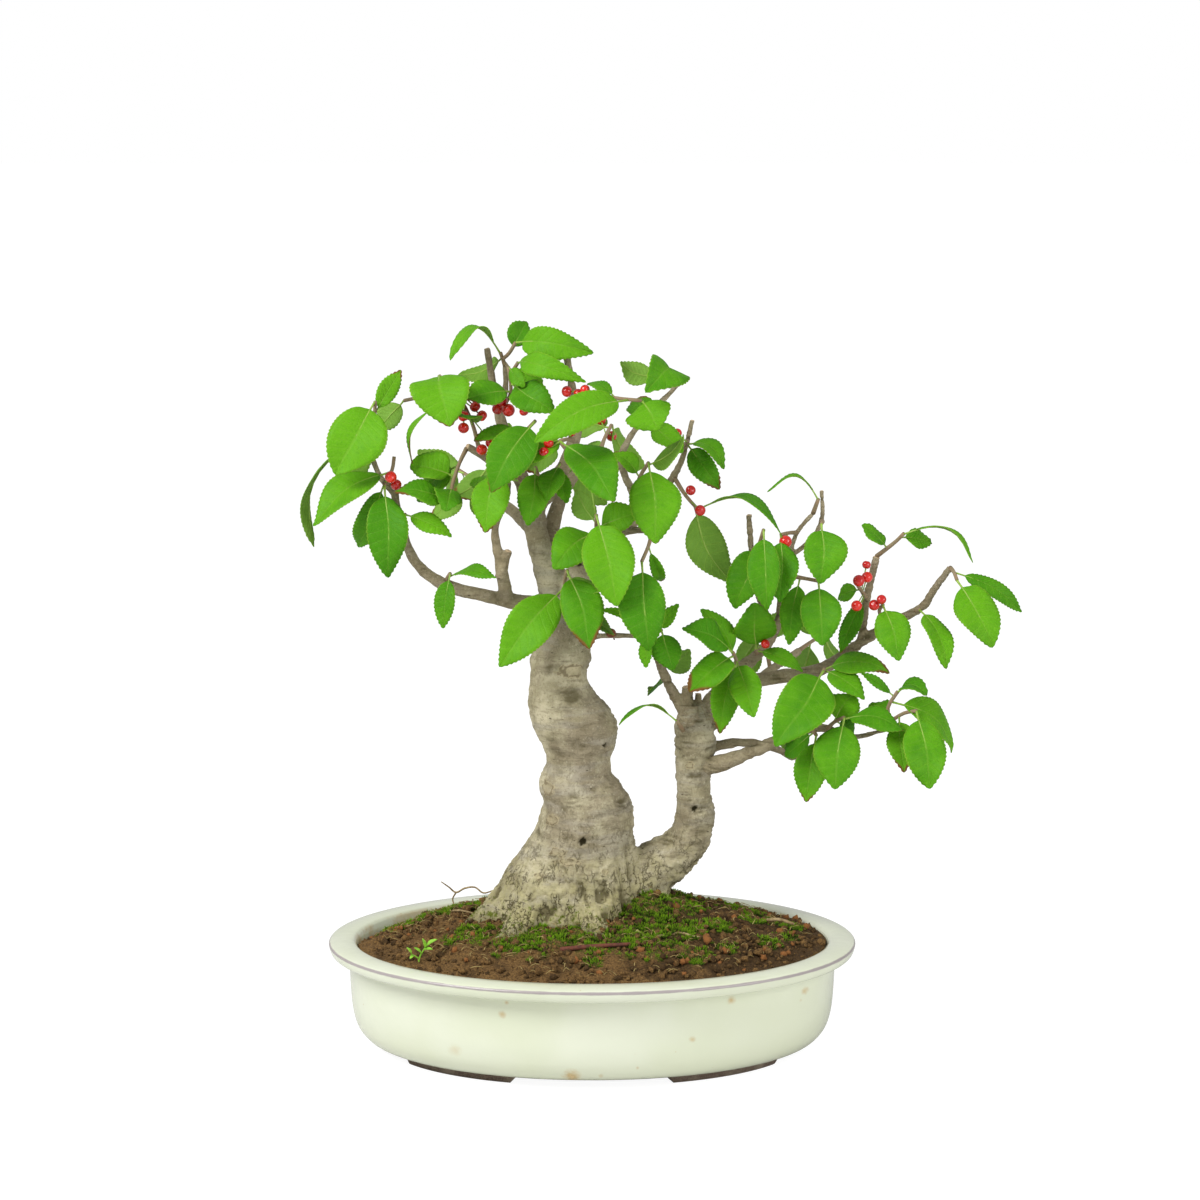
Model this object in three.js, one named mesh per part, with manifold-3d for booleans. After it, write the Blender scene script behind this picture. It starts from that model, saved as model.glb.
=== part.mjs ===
// Japanese winterberry bonsai (Ilex serrata) in its glazed oval pot.
// Millimetres, X along the pot, Y away from the front, Z up. The tree is laid out from the
// middle of the pot at ground level, and the whole is then centred on its own box.

import * as THREE from "three";
import * as BufferGeometryUtils from "three/addons/utils/BufferGeometryUtils.js";
import Module from "manifold-3d";

const wasm = await Module();
wasm.setup();

// Clearances
const seatGap = 0.3;
const barkGap = 0.35;
const weldDistance = 1e-4;
const slack = 0.06;

// Pot, as half-length and height along its long axis
const potSides = 30;
const potNarrower = 28.9;
const floorCentre = 60;
const footCutHeight = 3.2;
const footCutAcross = 69;
const footCutEnds = 64;
const drainRadius = 8;
const drainSides = 12;
const drainOffset = 48;
const potFloor = 9.5;
const potProfile = [
  [0, 5], [82, 5], [84, 0], [95, 0], [96, 3.5], [103, 6], [107.5, 11], [110, 22], [111, 43],
  [117.5, 43.8], [119.8, 46], [120.4, 49], [115, 50.8], [109.5, 51], [107.5, 49.5],
  [103.5, 26], [97, 13], [85, potFloor], [0, potFloor],
];

// Drain screens of plastic net
const screenSide = 30;
const screenThickness = 1;
const screenHoles = 2;
const screenBar = 2;

// Soil
const soilWall = [[84.5, potFloor + seatGap], [96.5, 13.4], [103, 26.2], [106.9, 49]];
const soilEdge = 49.5;
const soilDome = 15;
const soilHalfLength = 106.9;
const moundHeight = 8.5;
const moundCentre = [26, 6];
const moundSpread = 24;
const clodHeight = 0.9;
const clodWaves = [[1.9, 0.7], [-0.6, 2.3], [0.8, -1.1]];
const clodSwell = 0.6;
const soilRings = [0.91, 0.78, 0.63, 0.45];

// Wood
const trunkSides = 16;
const trunkSteps = 20;
const fluteDepth = 0.07;
const flutes = [[5, 0.8, 1], [8, -1.1, 0.6]];
const fluteTop = 112;
const fluteBottom = 62;

// Leaves, twigs and berries
const bladeHalf = 0.35;
const bladeSkew = 0.92;
const bladeFullness = 0.66;
const stalkHalf = 0.6;
const stalkShare = 0.13;
const largeLeaf = 18;
const largeTeeth = 3;
const smallTeeth = 2;
const largeRib = [0.36, 0.7, 1];
const smallRib = [0.5, 1];
const twigSides = 3;
const twigGap = 0.8;
const firstTooth = 0.78;
const lastTooth = 0.42;
const toothStep = 0.035;
const toothOut = 1.05;
const toothIn = 0.9;
const foldAngle = THREE.MathUtils.degToRad(14);
const facing = new THREE.Vector3(0, -0.7, 0.7).normalize();
const twigStart = 1.2;
const twigEnd = 0.95;
const berryStalk = 0.45;
const berryRound = 1.08;

// Trunk rings from the root pad up: x, y, z, half width, half depth
const trunkRings = [
  [-11, 2, 37, 42, 31], [-12, 2, 51, 42.5, 31.4], [-12, 2, 58, 41, 30.3], [-12, 2, 65, 38, 28.9],
  [-10, 2, 74, 34.5, 27.6], [-9, 1, 82, 31, 26], [-6, 1, 91, 26.5, 23.3], [-3, 0, 104, 22, 20.2],
  [-2, 0, 113, 20.5, 18.9], [-5, 0, 121, 19, 17.5], [-7, 0, 127, 16, 15], [-6, 0, 134, 15, 14.4],
  [-6, 0, 141, 17, 16], [-8, 0, 150, 19.5, 18.3], [-11, 0, 158, 18, 17.1], [-14, 0, 165, 14.5, 14.2],
  [-15, 0, 173, 13, 13], [-14, 0, 181, 13.5, 13.5], [-12, 0, 189, 10.5, 10.5],
  [-12, 0, 198, 10.5, 10.5], [-12, 1, 209, 10, 10],
];

// Limbs and cut stubs: sides, route, radius at each point of the route
const limbs = [
  // Second trunk
  [12, [[-3, 6, 55], [14, 5, 69], [30, 3, 83], [43, 2, 94], [47, 1, 107], [46, 1, 120],
    [46, 1, 130], [47, 2, 140], [46, 2, 149], [45, 2, 158]],
  [24, 17, 12.5, 10.2, 8.9, 7.9, 8.2, 9.8, 8.6, 5.6]],
  // Left limb, its end stub and its rising branch
  [6, [[-14, 0, 203], [-30, -4, 205.5], [-50, -8, 210], [-68, -10, 216], [-78, -8, 224],
    [-85, -5, 239], [-89, 0, 259]],
  [5, 3.8, 3.1, 2.8, 2.5, 2.2, 1.9]],
  [5, [[-89, -1, 255], [-95, -1, 263], [-99, 0, 273]], [1.6, 1.4, 1.3]],
  [5, [[-38, -7, 208], [-41, -12, 225], [-43, -14, 241], [-38, -14, 254], [-37, -13, 262]],
  [3.4, 2.6, 1.9, 1.6, 1.4]],
  [5, [[-41, -12, 218], [-37, -14, 231]], [2.6, 1.8]],
  // Left fork up to its cut top, with a cut side branch and a stub
  [8, [[-14, 2, 204], [-21, 4, 224], [-25, 5, 235], [-26, 6, 247], [-32, 10, 260],
    [-38, 13, 273], [-41, 13, 286], [-44, 12, 300], [-47, 10, 319]],
  [9.5, 6.4, 5.2, 4.9, 4, 3.3, 2.7, 2, 1.5]],
  [5, [[-35, 10, 264], [-43, 6, 267], [-50, 3, 272], [-56, 0, 276]], [2.4, 2, 1.8, 1.7]],
  [5, [[-42, 13, 290], [-39, 13, 300], [-39, 12, 311]], [1.8, 1.4, 1.2]],
  // Middle branch
  [6, [[-25, 6, 248], [-17, 1, 259], [-10, -5, 273], [-7, -8, 286], [-8, -8, 298], [-11, -6, 316]],
  [4.2, 3.8, 3.2, 2.6, 2.1, 1.6]],
  // Right fork, the level branch and the high branch
  [6, [[-9, 0, 204], [-3, -3, 224], [4, -4, 233], [17, -2, 241], [25, 2, 247], [33, 6, 256],
    [40, 8, 268], [43, 8, 278], [45, 8, 287]],
  [8.6, 6, 4.2, 3, 2.4, 2, 1.5, 1.4, 1.3]],
  [5, [[6, -4, 234], [16, -9, 239], [27, -14, 240]], [2.4, 2, 1.6]],
  [5, [[23, 1, 246], [17, -4, 258], [13, -6, 270], [17, -8, 281], [27, -8, 293], [38, -6, 304],
    [40, -6, 308]],
  [2, 1.9, 1.8, 1.6, 1.4, 1.2, 1.1]],
  // Low twig on the trunk
  [5, [[-8, -4, 188], [4, -12, 192], [21, -18, 193]], [2.2, 1.4, 1.2]],
  // Shoot and stubs on the second trunk
  [5, [[43, 1, 153], [36, 0, 165], [29, -4, 182], [26, -5, 189]], [3.2, 2.6, 2, 1.7]],
  [5, [[44, 1, 154], [43, 0, 167]], [3.4, 2.5]],
  [5, [[48, 4, 150], [48, 4, 163]], [2.4, 1.6]],
  // Right riser with two stubs
  [6, [[47, 4, 147], [61, 10, 167], [75, 8, 180], [83, 6, 191], [85, 4, 206], [88, 2, 223],
    [92, 0, 237], [99, -2, 246]],
  [5, 3.7, 2.7, 2, 1.6, 1.4, 1.2, 1]],
  [5, [[83, 6, 190], [76, 0, 206], [72, -4, 224], [70, -6, 246]], [2, 1.8, 1.6, 1.5]],
  [5, [[89, 2, 226], [98, 2, 233], [103, 2, 242], [103, 2, 256]], [1.4, 1.3, 1.2, 1.1]],
  // High arm to the right with its stub
  [6, [[60, 10, 166], [84, 17, 168], [106, 14, 173], [125, 7, 188], [139, 4, 197], [149, 2, 203],
    [154, 1, 211], [161, 0, 221]],
  [3.6, 3.3, 3, 2.7, 2.4, 2.1, 1.8, 1.6]],
  [5, [[122, 8, 185], [124, 5, 206], [128, 2, 226]], [2.2, 1.9, 1.7]],
  // Low arm to the right and the one behind it
  [6, [[45, 1, 129], [62, -6, 134], [80, -12, 143], [91, -15, 148], [103, -16, 151],
    [116, -16, 147], [134, -18, 151]],
  [5, 3.6, 3, 2.4, 1.9, 1.4, 1.1]],
  [5, [[50, 6, 137], [68, 15, 138], [82, 20, 135], [93, 24, 129]], [3, 2.2, 1.9, 1.7]],
  // Branches to the back
  [5, [[-23, 6, 233], [-32, 24, 240], [-43, 44, 246], [-52, 60, 251]], [4, 3, 2.4, 1.8]],
  [5, [[-21, 4, 224], [-15, 26, 248], [-6, 44, 260], [4, 60, 268]], [4.4, 3.2, 2.4, 1.8]],
  [5, [[49, 5, 144], [66, 28, 155], [83, 46, 166], [97, 60, 173]], [4, 3, 2.3, 1.8]],
  // Roots that spread from the base and dive under the soil
  [6, [[-26, 0, 76], [-50, -5, 58], [-74, -12, 38]], [12, 7, 3]],
  [6, [[-22, -10, 72], [-38, -32, 56], [-54, -52, 36]], [11, 6, 3]],
  [6, [[0, -14, 70], [2, -34, 57], [6, -58, 34]], [11, 6, 2.5]],
  [6, [[24, 0, 70], [36, -4, 56], [54, -10, 36]], [11, 6, 3]],
  [6, [[12, 14, 72], [22, 36, 57], [34, 56, 34]], [11, 6, 2.5]],
  [6, [[-20, 14, 72], [-38, 32, 57], [-60, 50, 34]], [11, 6, 2.5]],
];

// Knot holes in the bark: x, y, z, radius
const knots = [
  [-4, -21, 100, 3], [-6, -8.5, 225, 3], [46, -8, 112, 2],
];

// Leafy sprays. twigs: routes from the wood out. leaves: twig, share along it, tip, width, turn, arch.
// berries: twig, share along it, centre, diameter.
const sprays = [
  {
    name: "spray_left_tip",
    twigs: [[[-99, 0, 273], [-97, -5, 284], [-96, -9, 297]]],
    leaves: [
      [0, 1, [-113, -24, 266], 27, -10, 0.12],
      [0, 0.53, [-113, -12, 251], 14, 165, 0.1],
      [0, 0.29, [-130, 16, 231], 14, 60, 0.2],
      [0, 0.76, [-85, 0, 310], 9, 20, 0.08],
    ],
  },
  {
    name: "spray_left_low",
    twigs: [
      [[-91, -1, 259], [-92, -8, 261], [-92, -13, 260]],
      [[-92, -8, 261], [-89, -7, 266], [-88, -6, 272]],
    ],
    leaves: [
      [1, 0.45, [-123, -24, 243], 18, 10, 0.12],
      [0, 1, [-90, -26, 221], 19, 0, 0.1],
      [0, 0.5, [-106, 4, 229], 13, -25, 0.1],
    ],
    berries: [
      [0, 0.8, [-89, -16, 264], 5.4],
      [1, 0.3, [-87, -11, 260], 5],
    ],
  },
  {
    name: "spray_left_high",
    twigs: [
      [[-50, 3, 272], [-54, 0, 288], [-61, -3, 301], [-68, -4, 308]],
      [[-56, -1, 291], [-72, 1, 298], [-84, 4, 296]],
    ],
    leaves: [
      [0, 1, [-62, -29, 287], 27, 4, 0.26],
      [1, 1, [-96, 2, 283], 12, 170, 0.1],
      [1, 0.35, [-82, -12, 271], 7, 55, 0.18],
      [0, 0.29, [-58, -22, 292], 12, 5, 0.08],
    ],
    berries: [
      [0, 0.41, [-45, -4, 278], 5],
      [0, 0.17, [-49, -5, 275], 5],
      [0, 0.53, [-57, -8, 285], 5],
      [0, 0.76, [-57, -6, 290], 5],
      [0, 0.88, [-52, -3, 294], 5],
      [0, 0.64, [-49, -4, 290], 5],
    ],
  },
  {
    name: "spray_cut_branch",
    twigs: [[[-56, 0, 275], [-59, -4, 269], [-62, -9, 260], [-63, -13, 253]]],
    leaves: [
      [0, 0.29, [-79, 4, 251], 19, 10, 0.1],
      [0, 0.76, [-64, -24, 251], 14, -20, 0.1],
      [0, 1, [-86, -22, 260], 15, 10, 0.1],
      [0, 0.53, [-81, -6, 268], 18, 0, 0.12],
    ],
  },
  {
    name: "spray_left_bend",
    twigs: [[[-85, -6, 242], [-83, -13, 247]]],
    leaves: [
      [0, 1, [-62, -22, 239], 10, 0, 0.1],
    ],
  },
  {
    name: "spray_left_under",
    twigs: [[[-65, -11, 217], [-63, -17, 221]]],
    leaves: [
      [0, 1, [-66, -22, 197], 10, 10, 0.08],
      [0, 0.5, [-42, -30, 221], 8, -10, 0.12],
    ],
  },
  {
    name: "spray_top_left",
    twigs: [
      [[-39, 12, 311], [-40, 11, 314], [-41, 10, 317]],
      [[-40, 11, 314], [-37, 7, 317], [-34, 4, 322]],
      [[-39, 12, 312], [-36, 8, 309], [-33, 4, 313]],
    ],
    leaves: [
      [0, 1, [-63, -2, 316], 12, 35, 0.5],
      [0, 0.5, [-60, 32, 304], 12, 170, 0.08],
      [1, 1, [0, -10, 319], 15, 30, 0.27],
      [2, 1, [-3, -22, 307], 11, 30, 0.3],
      [2, 0.75, [-22, 0, 302], 11, 0, 0.08],
      [1, 0.6, [-29, 14, 331], 11, 20, 0.06],
    ],
  },
  {
    name: "spray_berry_twig",
    twigs: [[[-41, 13, 290], [-39, 5, 294], [-36, -3, 301], [-37, -6, 312]]],
    leaves: [
      [0, 1, [-30, -14, 304], 7, 30, 0.05],
      [0, 0.73, [-17, -22, 294], 16, 15, 0.1],
      [0, 0.59, [-56, -14, 298], 16, 0, 0.1],
    ],
    berries: [
      [0, 0.46, [-40, -7, 297], 5.2],
      [0, 0.19, [-42, -4, 293], 5],
      [0, 0.32, [-37, -9, 293], 5.8],
      [0, 0.86, [-30, -14, 293], 4.2],
    ],
  },
  {
    name: "spray_inner_left",
    twigs: [[[-36, 12, 271], [-34, 2, 276], [-30, -9, 283], [-25, -17, 289]]],
    leaves: [
      [0, 0.6, [-52, -16, 281], 10, 10, 0.08],
      [0, 1, [-44, -38, 262], 21, -5, 0.1],
    ],
  },
  {
    name: "spray_lower_left",
    twigs: [[[-29, 8, 255], [-32, -3, 261], [-36, -12, 267], [-41, -17, 269]]],
    leaves: [
      [0, 1, [-47, -30, 241], 17, 5, 0.1],
      [0, 0.75, [-51, -4, 252], 13, 165, 0.08],
      [0, 0.3, [-55, 12, 257], 12, 10, 0.08],
    ],
    berries: [
      [0, 0.6, [-44, -22, 269], 5],
    ],
  },
  {
    name: "spray_fork_front",
    twigs: [[[-21, 3, 255], [-23, -6, 261], [-25, -14, 268]]],
    leaves: [
      [0, 1, [-28, -26, 244], 14, -10, 0.1],
    ],
  },
  {
    name: "spray_fork_right",
    twigs: [[[-14, -1, 262], [-15, -10, 266], [-14, -15, 270]]],
    leaves: [
      [0, 1, [-20, -26, 255], 12, 10, 0.08],
      [0, 0.6, [-11, -20, 253], 8, 10, 0.08],
    ],
  },
  {
    name: "spray_top_middle",
    twigs: [[[-8, -8, 297], [-1, -18, 302], [10, -25, 300], [22, -27, 299]]],
    leaves: [
      [0, 0.84, [-24, -50, 285], 18, -12, 0.12],
      [0, 1, [29, -38, 287], 21, 12, 0.16],
      [0, 0.68, [-2, -14, 306], 7, 10, 0.16],
    ],
    berries: [
      [0, 0.21, [-6, -17, 301], 4.6],
      [0, 0.53, [-3, -19, 303], 4.6],
      [0, 0.37, [-11, -16, 302], 5],
    ],
  },
  {
    name: "spray_middle_front",
    twigs: [[[-8, -7, 279], [-10, -17, 281], [-14, -24, 281]]],
    leaves: [
      [0, 1, [10, -50, 257], 20, 5, 0.1],
      [0, 0.68, [-32, -26, 272], 12, 0, 0.08],
    ],
    berries: [
      [0, 0.53, [-19, -24, 280], 4.6],
      [0, 0.84, [-21, -26, 276], 5],
      [0, 0.37, [-11, -18, 285], 4.6],
      [0, 0.21, [-9, -16, 284], 4.2],
    ],
  },
  {
    name: "spray_high_right",
    twigs: [[[39, -6, 306], [35, -12, 308], [30, -16, 308]]],
    leaves: [
      [0, 1, [12, -16, 314], 12, 170, 0.1],
      [0, 0.7, [24, -42, 305], 20, -24, 0.3],
    ],
    berries: [
      [0, 0.3, [34, -16, 307], 4.4],
    ],
  },
  {
    name: "spray_right_edge",
    twigs: [[[42, 8, 276], [43, 1, 277]]],
    leaves: [
      [0, 1, [59, -10, 268], 11, -15, 0.24],
      [0, 0.3, [57, -4, 257], 12, 10, 0.14],
    ],
    berries: [
      [0, 0.85, [38, -2, 282], 4.4],
    ],
  },
  {
    name: "spray_right_upper",
    twigs: [[[19, -3, 253], [21, -12, 263], [25, -21, 271]]],
    leaves: [
      [0, 1, [28, -40, 238], 23, 0, 0.1],
      [0, 0.85, [41, -32, 284], 13, 170, 0.08],
      [0, 0.5, [10, -12, 275], 10, 10, 0.06],
    ],
  },
  {
    name: "spray_right_back_leaves",
    twigs: [[[20, -8, 285], [26, -1, 286]]],
    leaves: [
      [0, 1, [40, -16, 275], 12, 0, 0.1],
      [0, 0.6, [20, 10, 297], 14, 0, 0.1],
    ],
  },
  {
    name: "spray_right_arch",
    twigs: [[[37, 7, 261], [42, -3, 254], [47, -10, 249]]],
    leaves: [
      [0, 1, [85, -22, 240], 11, -40, 0.26],
      [0, 0.85, [61, -8, 215], 20, 172, 0.08],
    ],
    berries: [
      [0, 0.5, [44, -7, 257], 4.6],
      [0, 0.7, [48, -15, 249], 5],
    ],
  },
  {
    name: "spray_level_tip",
    twigs: [[[27, -14, 240], [25, -22, 234], [22, -28, 228]]],
    leaves: [
      [0, 1, [25, -42, 191], 21, 0, 0.08],
      [0, 0.5, [31, -10, 216], 6, 50, 0.2],
    ],
  },
  {
    name: "spray_right_fork_front",
    twigs: [[[4, -4, 233], [2, -15, 240], [2, -23, 248]]],
    leaves: [
      [0, 1, [11, -44, 211], 24, 3, 0.08],
      [0, 0.4, [-17, -34, 226], 20, -5, 0.1],
      [0, 0.7, [-7, -14, 258], 11, 170, 0.06],
      [0, 0.55, [22, -18, 249], 15, 5, 0.06],
      [0, 0.25, [17, -4, 243], 9, 170, 0.06],
    ],
    berries: [
      [0, 0.85, [-1, -22, 264], 4.8],
    ],
  },
  {
    name: "spray_trunk_front",
    twigs: [[[-12, -9, 212], [-12, -16, 218], [-11, -20, 223]]],
    leaves: [
      [0, 1, [-1, -40, 191], 19, 0, 0.08],
      [0, 0.3, [-41, -30, 181], 22, -10, 0.12],
      [0, 0.8, [6, -30, 215], 9, 170, 0.06],
      [0, 0.15, [10, -30, 195], 9, 165, 0.06],
    ],
  },
  {
    name: "spray_low_twig",
    twigs: [[[21, -18, 193], [24, -22, 194]]],
    leaves: [
      [0, 1, [24, -26, 180], 6, 10, 0.05],
    ],
  },
  {
    name: "spray_shoot_tip",
    twigs: [[[26, -5, 189], [29, -10, 193], [31, -14, 195]]],
    leaves: [
      [0, 1, [36, -24, 179], 14, 0, 0.08],
      [0, 0.8, [38, -16, 207], 7, 10, 0.06],
      [0, 0.6, [4, -10, 204], 6, 10, 0.1],
    ],
  },
  {
    name: "spray_second_front",
    twigs: [[[41, -7, 148], [38, -14, 154]]],
    leaves: [
      [0, 1, [12, -22, 153], 7, 52, 0.3],
    ],
  },
  {
    name: "spray_riser_front",
    twigs: [[[65, 9, 172], [65, -4, 179], [63, -15, 185]]],
    leaves: [
      [0, 1, [40, -26, 198], 15, 0, 0.12],
      [0, 0.7, [49, -10, 204], 11, 15, 0.1],
      [0, 0.85, [43, -32, 170], 17, 5, 0.1],
      [0, 0.4, [57, -20, 150], 14, 0, 0.08],
      [0, 0.55, [72, -30, 158], 15, 10, 0.08],
    ],
  },
  {
    name: "spray_riser_up",
    twigs: [[[75, 8, 180], [74, 0, 184]]],
    leaves: [
      [0, 1, [73, -12, 206], 20, 0, 0.06],
      [0, 0.7, [95, -6, 176], 9, 0, 0.08],
    ],
    berries: [
      [0, 0.85, [78, -4, 187], 4.2],
    ],
  },
  {
    name: "spray_right_top",
    twigs: [[[72, -4, 224], [74, -12, 232], [76, -20, 241]]],
    leaves: [
      [0, 1, [77, -34, 208], 15, 5, 0.08],
      [0, 0.55, [63, -20, 206], 17, 0, 0.1],
    ],
  },
  {
    name: "spray_right_top_berry",
    twigs: [[[92, 0, 237], [88, -8, 238], [84, -14, 238]]],
    leaves: [
      [0, 1, [83, -26, 210], 15, 8, 0.1],
    ],
    berries: [
      [0, 0.6, [86, -15, 235], 5.8],
    ],
  },
  {
    name: "spray_right_top_arch",
    twigs: [[[99, -2, 246], [101, -6, 253]]],
    leaves: [
      [0, 1, [78, -12, 258], 7, 42, 0.34],
    ],
  },
  {
    name: "spray_right_round",
    twigs: [[[103, 2, 242], [103, -8, 243], [102, -14, 243]]],
    leaves: [
      [0, 1, [101, -28, 219], 20, 0, 0.06],
    ],
  },
  {
    name: "spray_right_round_low",
    twigs: [[[89, 3, 217], [96, -6, 217], [101, -13, 217]]],
    leaves: [
      [0, 1, [102, -28, 190], 19, 0, 0.08],
      [0, 0.35, [88, -12, 188], 12, 0, 0.08],
    ],
  },
  {
    name: "spray_arm_berries",
    twigs: [[[124, 5, 206], [121, -4, 211], [119, -8, 214]]],
    leaves: [
      [0, 0.78, [110, -2, 208], 11, 10, 0.06],
      [0, 0.18, [111, -8, 184], 9, 10, 0.06],
    ],
    berries: [
      [0, 0.93, [119, -12, 217], 5.4],
      [0, 0.48, [123, -8, 218], 5],
      [0, 0.63, [123, -4, 223], 4],
      [0, 0.33, [118, -14, 206], 5],
    ],
  },
  {
    name: "spray_far_twig",
    twigs: [[[128, 2, 226], [136, -6, 234], [139, -10, 238]]],
    leaves: [
      [0, 0.35, [121, -2, 241], 10, 20, 0.08],
      [0, 0.85, [152, -2, 233], 10, 10, 0.08],
      [0, 1, [170, -18, 229], 8, -45, 0.24],
    ],
  },
  {
    name: "spray_far_right",
    twigs: [[[161, 0, 221], [162, -6, 220], [163, -10, 217]]],
    leaves: [
      [0, 1, [178, -26, 190], 20, 0, 0.1],
      [0, 0.5, [193, -6, 202], 9, 10, 0.16],
    ],
  },
  {
    name: "spray_right_under",
    twigs: [[[146, 2, 201], [147, -6, 203]]],
    leaves: [
      [0, 1, [158, -24, 180], 13, -15, 0.16],
    ],
  },
  {
    name: "spray_right_inner_berries",
    twigs: [[[132, 5, 195], [129, -4, 202], [130, -11, 206]]],
    leaves: [
      [0, 1, [136, -28, 184], 16, 5, 0.1],
    ],
    berries: [
      [0, 0.6, [126, -12, 206], 5],
      [0, 0.85, [129, -15, 209], 4.4],
    ],
  },
  {
    name: "spray_low_right_tip",
    twigs: [
      [[134, -18, 151], [132, -21, 161], [136, -24, 169]],
      [[134, -19, 155], [139, -23, 159], [144, -28, 161]],
    ],
    leaves: [
      [0, 1, [148, -32, 170], 13, -22, 0.24],
      [0, 0.7, [162, -16, 140], 17, -14, 0.2],
      [0, 0.85, [120, -20, 177], 5, 0, 0.05],
      [1, 1, [149, -44, 129], 20, 0, 0.08],
      [1, 0.3, [138, -38, 136], 13, 5, 0.08],
      [0, 0.3, [124, -14, 161], 11, 10, 0.06],
    ],
  },
  {
    name: "spray_arm_front",
    twigs: [[[107, 13, 173], [105, 0, 175], [104, -10, 176]]],
    leaves: [
      [0, 0.7, [133, -12, 177], 15, -14, 0.18],
      [0, 0.85, [121, -24, 167], 12, 0, 0.08],
      [0, 1, [81, -40, 148], 26, -5, 0.1],
    ],
  },
  {
    name: "spray_low_arm_front",
    twigs: [[[105, -16, 150], [108, -23, 155], [112, -28, 158]]],
    leaves: [
      [0, 1, [107, -44, 129], 21, 0, 0.08],
      [0, 0.4, [117, -12, 166], 15, 0, 0.08],
      [0, 0.6, [117, -18, 147], 12, 5, 0.1],
      [0, 0.85, [138, -34, 154], 14, -12, 0.12],
    ],
  },
  {
    name: "spray_low_arm_under",
    twigs: [[[99, -16, 150], [100, -23, 149]]],
    leaves: [
      [0, 1, [95, -34, 121], 15, 5, 0.08],
      [0, 0.1, [87, -12, 137], 13, 0, 0.08],
    ],
  },
  {
    name: "spray_back_left_tip",
    twigs: [[[-52, 60, 251], [-57, 66, 254], [-63, 72, 257]]],
    leaves: [
      [0, 1, [-77, 92, 230], 17, 180, 0.1],
      [0, 0.7, [-82, 74, 265], 16, 170, 0.1],
      [0, 0.5, [-44, 84, 231], 18, 180, 0.1],
    ],
    berries: [
      [0, 0.85, [-58, 80, 246], 5],
    ],
  },
  {
    name: "spray_back_left_side",
    twigs: [[[-40, 40, 245], [-43, 46, 253], [-47, 50, 262]]],
    leaves: [
      [0, 1, [-64, 40, 247], 14, 180, 0.1],
      [0, 0.85, [-38, 56, 280], 16, 180, 0.1],
    ],
  },
  {
    name: "spray_back_middle_tip",
    twigs: [[[4, 60, 268], [6, 66, 273], [9, 72, 278]]],
    leaves: [
      [0, 1, [23, 90, 255], 18, 180, 0.1],
      [0, 0.85, [-12, 84, 283], 17, 180, 0.1],
      [0, 0.4, [-15, 82, 251], 18, 180, 0.1],
    ],
    berries: [
      [0, 0.55, [4, 76, 280], 5],
      [0, 0.7, [9, 78, 272], 5],
    ],
  },
  {
    name: "spray_back_middle_side",
    twigs: [[[-6, 44, 260], [-10, 50, 266], [-15, 54, 272]]],
    leaves: [
      [0, 1, [-32, 62, 258], 16, 180, 0.1],
      [0, 0.6, [6, 58, 242], 16, 180, 0.1],
    ],
  },
  {
    name: "spray_back_right_tip",
    twigs: [[[97, 60, 173], [103, 66, 176], [109, 70, 179]]],
    leaves: [
      [0, 1, [124, 88, 160], 16, 180, 0.1],
      [0, 0.5, [94, 82, 150], 17, 180, 0.1],
      [0, 0.7, [101, 78, 194], 14, 180, 0.1],
    ],
  },
  {
    name: "spray_back_right_side",
    twigs: [[[83, 46, 166], [81, 52, 175], [78, 56, 181]]],
    leaves: [
      [0, 1, [65, 66, 158], 16, 180, 0.1],
      [0, 0.8, [92, 58, 192], 12, 180, 0.1],
    ],
  },
  {
    name: "spray_back_arm_tip",
    twigs: [[[93, 24, 129], [97, 30, 130], [100, 36, 131]]],
    leaves: [
      [0, 1, [114, 50, 115], 13, 180, 0.1],
      [0, 0.5, [91, 46, 141], 14, 180, 0.1],
    ],
  },
  {
    name: "spray_back_trunk",
    twigs: [[[-15, 8, 201], [-18, 18, 204], [-20, 26, 207]]],
    leaves: [
      [0, 1, [-33, 40, 181], 14, 180, 0.1],
      [0, 0.8, [-1, 44, 190], 15, 180, 0.1],
    ],
  },
  {
    name: "spray_back_shoot",
    twigs: [[[34, 2, 168], [33, 12, 169], [32, 20, 172]]],
    leaves: [
      [0, 1, [45, 36, 177], 13, 180, 0.1],
      [0, 0.8, [27, 36, 159], 13, 180, 0.1],
    ],
  },
];

// Weed by the front edge and a stick on the soil
const seedling = {
  twigs: [[[-77, -46, 44], [-76, -46, 53], [-74, -46, 57]]],
  leaves: [
    [0, 0.8, [-81, -50, 57], 4, 0, 0.1],
    [0, 1, [-70, -48, 62], 4, 0, 0.1],
  ],
};
const weedHoleRadius = 2.4;
const fallenTwig = [6, [[-14, -52, 58.4], [-1, -50, 59.2], [17, -48, 59.8]], [1.1, 1, 0.8]];

const point = (p) => new THREE.Vector3(...p);

// A closed mesh as a solid, without the slivers that a pole or a seam leaves
function solid(geometry) {
  const bare = geometry.clone();
  bare.deleteAttribute("normal");
  bare.deleteAttribute("uv");
  const merged = BufferGeometryUtils.mergeVertices(bare, weldDistance);
  const triVerts = [];
  const index = merged.index.array;
  for (let i = 0; i < index.length; i += 3) {
    const [a, b, c] = index.slice(i, i + 3);
    if (a !== b && b !== c && c !== a) {
      triVerts.push(a, b, c);
    }
  }
  const vertProperties = new Float32Array(merged.attributes.position.array);
  const mesh = new wasm.Mesh({ numProp: 3, vertProperties, triVerts: new Uint32Array(triVerts) });
  return new wasm.Manifold(mesh);
}

const join = (solids) => solids.reduce((sum, next) => sum.add(next));

// The largest body of a solid, so that no loose scrap is left
function whole(body) {
  return body.decompose().sort((a, b) => b.volume() - a.volume())[0];
}

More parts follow.
